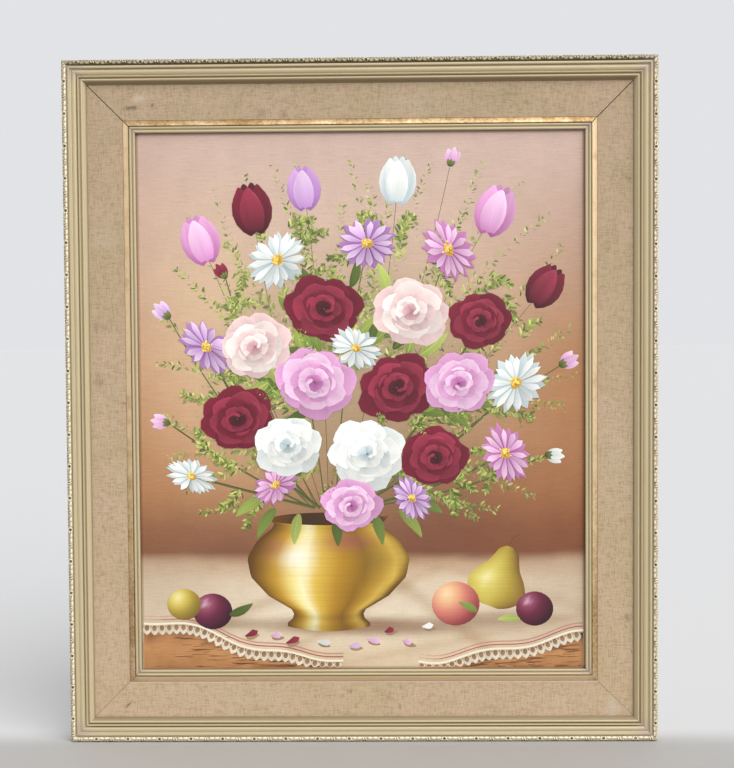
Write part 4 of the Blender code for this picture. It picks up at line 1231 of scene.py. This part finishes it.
def fruit(centre, radius, stops, squashY=0.92):
    # a ball painted as rings of tone round its light side
    def outline(s, t):
        angle = np.pi * (s - 0.5)
        return radius * np.cos(angle) * t, radius * squashY * np.sin(angle)

    def tone(s, t):
        x, y = outline(s, t)
        d = np.hypot(x / radius + 0.38, y / radius - 0.42) / 1.55
        d = d - 0.10 * smooth(np.hypot(x / radius, y / radius), 0.86, 1.0) * (x > 0)
        return ramp(d, stops)
    solidForm(centre, 16, 13, outline, tone)


def pear(centre, size, lean):
    # a leaning pear: half width by height, with tones round its light side
    cosine, sine = math.cos(lean), math.sin(lean)

    def outline(s, t):
        half = np.interp(s, [0, 0.06, 0.2, 0.36, 0.52, 0.68, 0.82, 0.93, 1],
                         [8, 20, 31, 33, 27, 18, 14, 11, 4]) * size / 60
        x, y = half * t, size * (s - 0.35) * 1.15
        return x * cosine - y * sine, x * sine + y * cosine

    def tone(s, t):
        d = np.hypot(t + 0.45, (s - 0.42) * 1.6) / 1.6
        return ramp(d, [(0, "#F6EBA8"), (0.2, "#DCCB62"), (0.55, "#B39A38"), (0.85, "#8B6A2A"),
                        (1, "#6B4A22")])
    solidForm(centre, 24, 13, outline, tone)


def paintPicture():
    tableEdge()
    # the stems spring from the heart of the bouquet, in the mouth of the bowl
    heart = np.array(picture["heart"])
    # kind, centre, size, palette, and the turn of a tulip or bud
    blooms = [("tulip", (-178, 182), 52, "pink", 1.9), ("tulip", (-120, 216), 54, "maroon", 1.75),
              ("tulip", (42, 246), 50, "white", 1.5), ("tulip", (150, 212), 54, "pink", 1.2),
              ("tulip", (205, 128), 48, "maroon", 0.95), ("tulip", (-62, 238), 46, "lilac", 1.65),
              ("bud", (-214, 96), 22, "lilac", 2.4), ("bud", (100, 262), 20, "pink", 1.3),
              ("bud", (222, 40), 22, "pink", 0.5), ("bud", (-216, -22), 20, "pink", 3.0),
              ("bud", (206, -60), 20, "white", -0.1), ("bud", (-150, 140), 18, "maroon", 2.2)]
    blooms += [("daisy", (-92, 158), 36, "white", 0), ("daisy", (98, 168), 38, "pink", 0),
               ("daisy", (-172, 62), 36, "lilac", 0), ("daisy", (172, 20), 38, "white", 0),
               ("daisy", (8, 176), 34, "lilac", 0), ("daisy", (-190, -82), 30, "white", 0),
               ("daisy", (160, -58), 34, "pink", 0), ("daisy", (-96, -92), 30, "pink", 0)]
    blooms += [("rose", (-40, 104), 42, "maroon", 0), ("rose", (56, 100), 44, "blush", 0),
               ("rose", (-118, 62), 40, "blush", 0), ("rose", (132, 90), 36, "maroon", 0),
               ("rose", (-138, -18), 42, "maroon", 0), ("rose", (-52, 22), 46, "pink", 0),
               ("rose", (40, 16), 44, "maroon", 0), ("rose", (108, 20), 40, "pink", 0),
               ("rose", (-82, -48), 38, "white", 0), ("rose", (6, -58), 44, "white", 0),
               ("rose", (82, -62), 38, "maroon", 0), ("rose", (-12, -116), 34, "pink", 0),
               ("daisy", (-6, 60), 30, "white", 0), ("daisy", (56, -108), 28, "lilac", 0)]
    for k, (kind, where, size, palette, turned) in enumerate(blooms):
        bow = 10 * math.sin(k * 2.4)
        if kind in ("tulip", "bud") or where[1] > 120 or abs(where[0]) > 130:
            ribbon(heart + (where[0] * 0.12, 0), where, bow, picture["stemWidth"],
                   hexes("#3C431E", "#6F7540"), taper=0.25)
    # where the sprays of foliage end
    ends = [(-205, 150), (-160, 235), (-96, 262), (-10, 268), (78, 262), (180, 240), (222, 170), (232, 82),
            (225, -6), (190, -106), (-226, 44), (-214, -60), (-180, -122), (128, -130), (-130, -140),
            (-20, 220), (120, 205), (-65, 190), (200, 60)]
    ends += [(-190, 205), (-128, 250), (10, 240), (135, 262), (208, 205), (238, 30), (212, -60), (-222, 95),
             (-222, -15), (-196, -98), (150, -120), (-70, 262), (50, 270), (175, 90), (-150, 175)]
    for k, end in enumerate(ends):
        spray(heart * 0.3 + np.array(end) * 0.25, end, 16 * math.sin(k * 1.7), 3.0, 99, 7.4,
              pale=0.15 * (k % 2))
        turn = np.array(end) * 0.72 + 14 * math.sin(k)
        spray(turn, turn + 30 * np.array([math.cos(k * 1.9), math.sin(k * 1.9)]), 4, 3.0, 39, 7.0)
    for where in ((-150, 110), (150, 130), (-200, 10), (190, -20), (-30, 150), (60, 205), (-120, -60),
                  (120, -30), (0, 120)):
        spray(np.array(where) * 0.75, where, 6, 12, 66, 7.0, 0.1)
    count = picture["leafStrokes"]
    angle = paintRng.uniform(-0.5, math.pi + 0.5, count)
    base = np.array([-10, 5]) + np.stack([np.cos(angle) * 118, np.sin(angle) * 112],
                                         1) * paintRng.uniform(0.45, 1.1, (count, 1))
    leaves(base, angle + paintRng.uniform(-0.7, 0.7, count), paintRng.uniform(24, 42, count),
           paintRng.uniform(9, 14, count), paintRng.uniform(-0.7, 0.7, count))
    foliageEnd = len(batches)
    bowl()
    low = np.array([[-96, -122], [-70, -128], [-30, -132], [12, -128], [40, -124], [-110, -110], [58, -112]])
    leaves(low + (0, 4), np.array([3.9, 4.4, 4.9, 5.2, 5.7, 3.5, 6.0]),
           np.array([40, 36, 34, 38, 42, 38, 36]), np.full(7, 13.0),
           np.array([0.5, 0.3, -0.2, -0.4, -0.6, 0.5, -0.4]))
    for kind, where, size, palette, turned in blooms:
        if kind == "rose":
            rose(where, size, palette, (1.6 + 0.3 * math.sin(where[0]), 0.88))
        elif kind == "daisy":
            daisy(where, size, palette, (1.5 + math.sin(where[1]), 0.74 + 0.1 * math.sin(where[0])))
        elif kind == "tulip":
            tulip(where, size, palette, turned)
        else:
            bud(where, size, palette, turned)
    for k, end in enumerate(((-60, 70), (90, 55), (-100, 10), (20, -20), (120, -20), (-40, -90), (60, -30))):
        spray(np.array(end) * 0.8, np.array(end) * 1.15, 4, 6, 34, 4.0)
    # petals that have dropped on the cloth
    spots = np.array([(-104, -262), (-86, -270), (-52, -268), (-16, -274), (24, -258), (44, -268),
                      (66, -252), (-132, -262), (4, -266)])
    shades = ("pink", "maroon", "white", "lilac", "maroon", "pink", "white", "maroon", "pink")
    for k, (spot, shade) in enumerate(zip(spots, shades)):
        touches(spot + (1.5, -2.2), 0.3 * math.sin(k * 2.1), 15, 6.5,
                np.stack([hexes("#A98A68", "#A98A68")]), shape="blade", m=5)
        touches(spot, 0.3 * math.sin(k * 2.1), 14 + 3 * math.sin(k), 7.5, petalColours(1, shade, 1, 3),
                bend=0.3, m=5)
    pear((150, -206), 62, -0.35)
    ribbon((165, -160), (176, -148), 2, 2.2, hexes("#3B2612", "#6B4A26"), taper=0.0)
    fruit((104, -226), 27, [(0, "#FBE3B4"), (0.25, "#F0B98A"), (0.5, "#D98270"), (0.8, "#A34A4A"),
                            (1, "#6B2A30")])
    fruit((192, -232), 21, [(0, "#E7C9D6"), (0.15, "#9A4A66"), (0.45, "#6A1F3A"), (0.8, "#3E0F22"),
                            (1, "#2A0A18")])
    fruit((-168, -234), 22, [(0, "#E7C9D6"), (0.15, "#A0526C"), (0.45, "#6E2440"), (0.8, "#43122A"),
                             (1, "#2A0A18")])
    fruit((-200, -226), 19, [(0, "#F6EBA8"), (0.3, "#D9C45A"), (0.6, "#A88F34"), (1, "#6B5420")])
    leaves(np.array([(-150, -238), (176, -244), (128, -236)]), np.array([0.2, 2.9, 2.4]),
           np.array([30, 26, 24]), np.array([10, 9, 9]), 0.5)
    return foliageEnd


def colourAndGrain(colours, grain, faces):
    # colours with their fourth channel, and grain spread from points to face corners
    colours = np.concatenate(colours)
    grain = np.concatenate(grain)
    return np.concatenate([colours, np.ones((len(colours), 1))],
                          1), np.concatenate([grain[f].reshape(-1, 2) for f in faces])


def makeCloth():
    # One closed shell: the primed front, a fold round each side, a turned-over hem on the back, and home
    # inside.
    c = canvas
    across, up = c["cellsAcross"], c["cellsUp"]
    r, cloth = c["foldRadius"], c["cloth"]
    flatU, flatV = canvasHalfWidth - r, canvasHalfHeight - r
    u, v = np.meshgrid(np.linspace(-flatU, flatU, across + 1), np.linspace(-flatV, flatV, up + 1),
                       indexing="ij")
    points = [np.stack([u, v, np.full_like(u, clothTop)], -1).reshape(-1, 3)]
    faces = [gridFaces(across + 1, up + 1)]
    number = np.arange((across + 1) * (up + 1)).reshape(across + 1, up + 1)
    loop = np.concatenate([number[:-1, 0], number[-1, :-1], number[:0:-1, -1], number[0, :0:-1]])
    colours = [groundColour(u, v).reshape(-1, 3)]

    # the section from the front fold to the hem and back inside: how far the rectangle reaches beyond the
    # flat front, and its level
    fold = np.radians(np.linspace(22.5, 90, 4))
    back = c["backLevel"]
    section = [(r * math.sin(a), clothTop - r + r * math.cos(a)) for a in fold]
    section += [(r, back + 8), (r, back + 0.6), (r - 0.6, back), (r - 8, back),
                (r - c["turnover"], back + 0.1), (r - c["turnover"], back + 0.7), (r - 8, back + cloth),
                (r - cloth, back + cloth), (r - cloth, back + 9), (r - cloth, clothTop - r),
                (0, clothTop - cloth)]
    flat = points[0][loop]
    ring = loop
    for k, (reach, height) in enumerate(section):
        scaled = flat * [(flatU + reach) / flatU, (flatV + reach) / flatV, 0] + [0, 0, height]
        if 8 <= k <= 9:
            # the hem is cut a little unevenly
            scaled[:, :2] *= 1 + 0.0025 * wavy(flat[:, 0] * 1.3 + flat[:, 1], 60, 5, 90)[:, None]
        start = sum(len(p) for p in points)
        following = start + np.arange(len(loop))
        faces.append(np.stack([ring, np.roll(ring, -1), np.roll(following, -1), following], 1))
        points.append(scaled)
        colours.append(groundColour(scaled[:, 0], scaled[:, 1]))
        ring = following

    # the inside of the front on a coarser grid, joined to the last ring by faces with several points on one
    # edge
    step = c["coarser"]
    a, b = across // step, up // step
    start = sum(len(p) for p in points)
    u, v = np.meshgrid(np.linspace(-flatU, flatU, a + 1) * 0.985, np.linspace(-flatV, flatV, b + 1) * 0.985,
                       indexing="ij")
    points.append(np.stack([u, v, np.full_like(u, clothTop - cloth)], -1).reshape(-1, 3))
    backNumber = start + np.arange((a + 1) * (b + 1)).reshape(a + 1, b + 1)
    backLoop = np.concatenate([backNumber[:-1, 0], backNumber[-1, :-1], backNumber[:0:-1, -1],
                               backNumber[0, :0:-1]])
    fine = np.concatenate([ring, ring[:1]])
    k = np.arange(len(backLoop))[:, None]
    seam = np.concatenate([fine[k * step + np.arange(step + 1)], np.roll(backLoop, -1)[:, None],
                           backLoop[:, None]], 1)
    colours.append(np.tile(hexColour("#D8CCB0"), (len(points[-1]), 1)))
    faces += [seam, start + gridFaces(a + 1, b + 1)[:, ::-1]]
    # raw cotton from the hem's fold inwards
    faceMaterials = np.concatenate([np.full(len(block), int(k >= 7)) for k, block in enumerate(faces)])
    points = np.concatenate(points)
    colours, grain = colourAndGrain(colours, [points[:, :2]], faces)
    world = np.stack([points[:, 0], -points[:, 2], centreZ + points[:, 1]], -1)
    return buildPiece("canvas_cloth", "painted_canvas", world, [f for block in faces for f in block], grain,
                      dict(paint=colours, thin=np.ones(len(points))), [paintMaterial, cotton], faceMaterials,
                      60)


def layPaint(name, chosen, paintMap):
    # Each stroke lies level on the highest paint beneath it, kept on a map of square cells, and its rim dips
    # a little under.
    c, cell = canvas, canvas["cell"]
    points, colours, thin, grain, faces = [], [], [], [], []
    total, laid = 0, 0
    edge = [sightHalfWidth - c["sightClear"], sightHalfHeight - c["sightClear"]]
    for outline, tone, mm, thinness in chosen:
        # no stroke runs under the lip of the slip
        clear = (np.abs(outline) < edge).all((1, 2, 3))
        outline, tone, mm = (np.broadcast_to(part, (len(clear), *part.shape[1:]))[clear]
                             for part in (outline, tone, mm))
        if not clear.any():
            continue
        count, n, m = outline.shape[:3]
        laid += count
        # sample every stroke more densely than its own grid, to find the cells that it covers
        i, j = np.linspace(0, n - 1, 2 * n + 4), np.linspace(0, m - 1, 2 * m + 2)
        i0, j0 = np.minimum(i.astype(int), n - 2), np.minimum(j.astype(int), m - 2)
        fi, fj = (i - i0)[None, :, None, None], (j - j0)[None, None, :, None]
        near, far = (outline[:, :, j0 + step][:, i0] * (1 - fi) + outline[:, :, j0 + step][:, i0 + 1] * fi
                     for step in (0, 1))
        dense = near * (1 - fj) + far * fj
        cu, cv = (np.clip(((dense[..., k] + half) / cell).astype(int), 0,
                          paintMap.shape[k] - 1).reshape(count, -1)
                  for k, half in enumerate((canvasHalfWidth, canvasHalfHeight)))
        level = np.zeros(count)
        for k in range(count):
            level[k] = paintMap[cu[k], cv[k]].max()
            paintMap[cu[k], cv[k]] = level[k] + c["layer"]
        inside = np.zeros((n, m))
        inside[1:-1, 1:-1] = 1
        height = clothTop + level[:, None, None] + c["layer"] * inside - c["rimDip"] * (1 - inside)
        points.append(np.concatenate([outline, height[..., None]], -1).reshape(-1, 3))
        colours.append(tone.reshape(-1, 3))
        thin.append(np.full(count * n * m, thinness))
        grain.append(mm.reshape(-1, 2))
        offset = total + np.arange(count)[:, None] * n * m
        own = np.arange(n * m).reshape(n, m)
        rim = np.concatenate([own[:-1, 0], own[-1, :-1], own[:0:-1, -1], own[0, :0:-1]])
        faces += [(offset[:, :, None] + gridFaces(n, m)[None]).reshape(-1, 4), offset + rim[::-1][None]]
        total += count * n * m
    points = np.concatenate(points)
    print("%s: %d strokes, thickest %.2f mm" % (name, laid, points[:, 2].max()
                                                - clothTop))
    colours, grain = colourAndGrain(colours, grain, faces)
    world = np.stack([points[:, 0], -points[:, 2], centreZ + points[:, 1]], -1)
    flat = [face for block in faces for face in block]
    return buildPiece(name, None, world, flat, grain, dict(paint=colours, thin=np.concatenate(thin)),
                      [paintMaterial], np.zeros(len(flat), int), 60)


foliageEnd = paintPicture()
canvasCloth = makeCloth()
paintMap = np.zeros((int(2 * canvasHalfWidth / canvas["cell"]) + 2,
                     int(2 * canvasHalfHeight / canvas["cell"]) + 2))
paintPieces = [layPaint("paint_foliage", batches[:foliageEnd], paintMap),
               layPaint("paint_blooms", batches[foliageEnd:], paintMap)]
print("canvas painted")


# Stage: a plain floor, greyer where it lies before the piece, and soft daylight from the upper right
stage = dict(world="#FBFCFF", front=0.36, behind=0.79, above=-0.05, sides=0.85, sunStrength=2.75,
             sunAngle=58.0, sunFrom=(0.6, -1.0, 1.0), floorNear="#AFADAA", floorFar="#D2D2D2")
floorMesh = bpy.data.meshes.new("floor")
floorZ = 0.001 * corner("outer_moulding_bottom", 0, 2) - 0.0002
floorMesh.from_pydata([(-40, -40, floorZ), (40, -40, floorZ), (40, 60, floorZ), (-40, 60, floorZ)], [],
                      [(0, 1, 2, 3)])
floor = bpy.data.objects.new("floor", floorMesh)
bpy.context.scene.collection.objects.link(floor)
floorMaterial, floorTree, floorShader = newMaterial("studio_floor", Roughness=0.7)
floorWhere = add(floorTree, "TexCoord").outputs["Object"]
floorNoise = add(floorTree, "TexNoise", {"Vector": floorWhere, "Scale": 30.0, "Detail": 5.0})
floorY = add(floorTree, "SeparateXYZ", {0: floorWhere}).outputs["Y"]
floorSpread = add(floorTree, "MapRange", {"Value": floorY, "From Min": -0.05, "From Max": 0.03},
                  interpolation_type="SMOOTHSTEP")
floorMix = add(floorTree, "Math", {0: floorNoise.outputs["Fac"], 1: 0.1, 2: floorSpread.outputs[0]},
               operation="MULTIPLY_ADD")
floorColour = add(floorTree, "Mix", {0: floorMix.outputs[0], 6: rgba(stage["floorNear"]),
                                     7: rgba(stage["floorFar"])}, data_type="RGBA")
floorTree.links.new(floorColour.outputs[2], floorShader.inputs["Base Color"])
floorMesh.materials.append(floorMaterial)

world = bpy.data.worlds.new("studio")
world.use_nodes = True
sky = world.node_tree
# soft studio surroundings: pale behind the piece and to its sides, dimmer behind the viewer and a little
# overhead
direction = add(sky, "SeparateXYZ", {0: add(sky, "TexCoord").outputs["Generated"]})
behindGlow = add(sky, "MapRange", {"Value": direction.outputs["Y"], "From Min": -0.3, "From Max": 0.5,
                                   "To Min": stage["front"], "To Max": stage["behind"]})
aboveGlow = add(sky, "MapRange", {"Value": direction.outputs["Z"], "From Min": 0.35, "From Max": 0.9,
                                  "To Max": stage["above"]})
aside = add(sky, "Math", {0: direction.outputs["X"]}, operation="ABSOLUTE")
sideGlow = add(sky, "MapRange", {"Value": aside.outputs[0], "From Min": 0.6, "From Max": 0.92,
                                 "To Max": stage["sides"]})
glowSum = add(sky, "Math", {0: behindGlow.outputs[0], 1: aboveGlow.outputs[0]}, operation="ADD")
glowSum = add(sky, "Math", {0: glowSum.outputs[0], 1: sideGlow.outputs[0]}, operation="ADD")
sky.nodes["Background"].inputs["Color"].default_value = rgba(stage["world"])
sky.links.new(glowSum.outputs[0], sky.nodes["Background"].inputs["Strength"])
bpy.context.scene.world = world

# a sun seen as wide as a window, so that near and far parts get the same light and shadows stay soft
daylight = bpy.data.lights.new("daylight", "SUN")
daylight.energy = stage["sunStrength"]
daylight.angle = math.radians(stage["sunAngle"])
lamp = bpy.data.objects.new("daylight", daylight)
bpy.context.scene.collection.objects.link(lamp)
lamp.location = stage["sunFrom"]
lamp.rotation_euler = Vector(stage["sunFrom"]).to_track_quat("Z", "Y").to_euler()


# Camera: fitted to the corners of the frame as the photograph shows them, 734 by 768 pixels
camera = dict(focal=1300.0, width=734, height=768, location=(0.0296, -1.4642, 0.0729), pitch=-2.098,
              yaw=0.918, roll=0.385)
lens = bpy.data.cameras.new("camera")
lens.sensor_width = 36.0
lens.lens = camera["focal"] / camera["height"] * lens.sensor_width
lens.clip_start, lens.clip_end = 0.05, 60
eye = bpy.data.objects.new("camera", lens)
bpy.context.scene.collection.objects.link(eye)
eyeTurn = (Matrix.Rotation(math.radians(camera["yaw"]), 3, "Z")
           @ Matrix.Rotation(math.radians(camera["pitch"]), 3, "X")
           @ Matrix.Rotation(math.radians(camera["roll"]), 3, "Y"))
lookingAlongY = Matrix(((1, 0, 0), (0, 0, -1), (0, 1, 0)))
eyePlace = (eyeTurn @ lookingAlongY).to_4x4()
eyePlace.translation = Vector(camera["location"]) + Vector((0, 0, 0.001 * centreZ))
eye.matrix_world = eyePlace
bpy.context.scene.camera = eye
bpy.context.scene.view_settings.view_transform = "Standard"
print("stage, light and camera set")
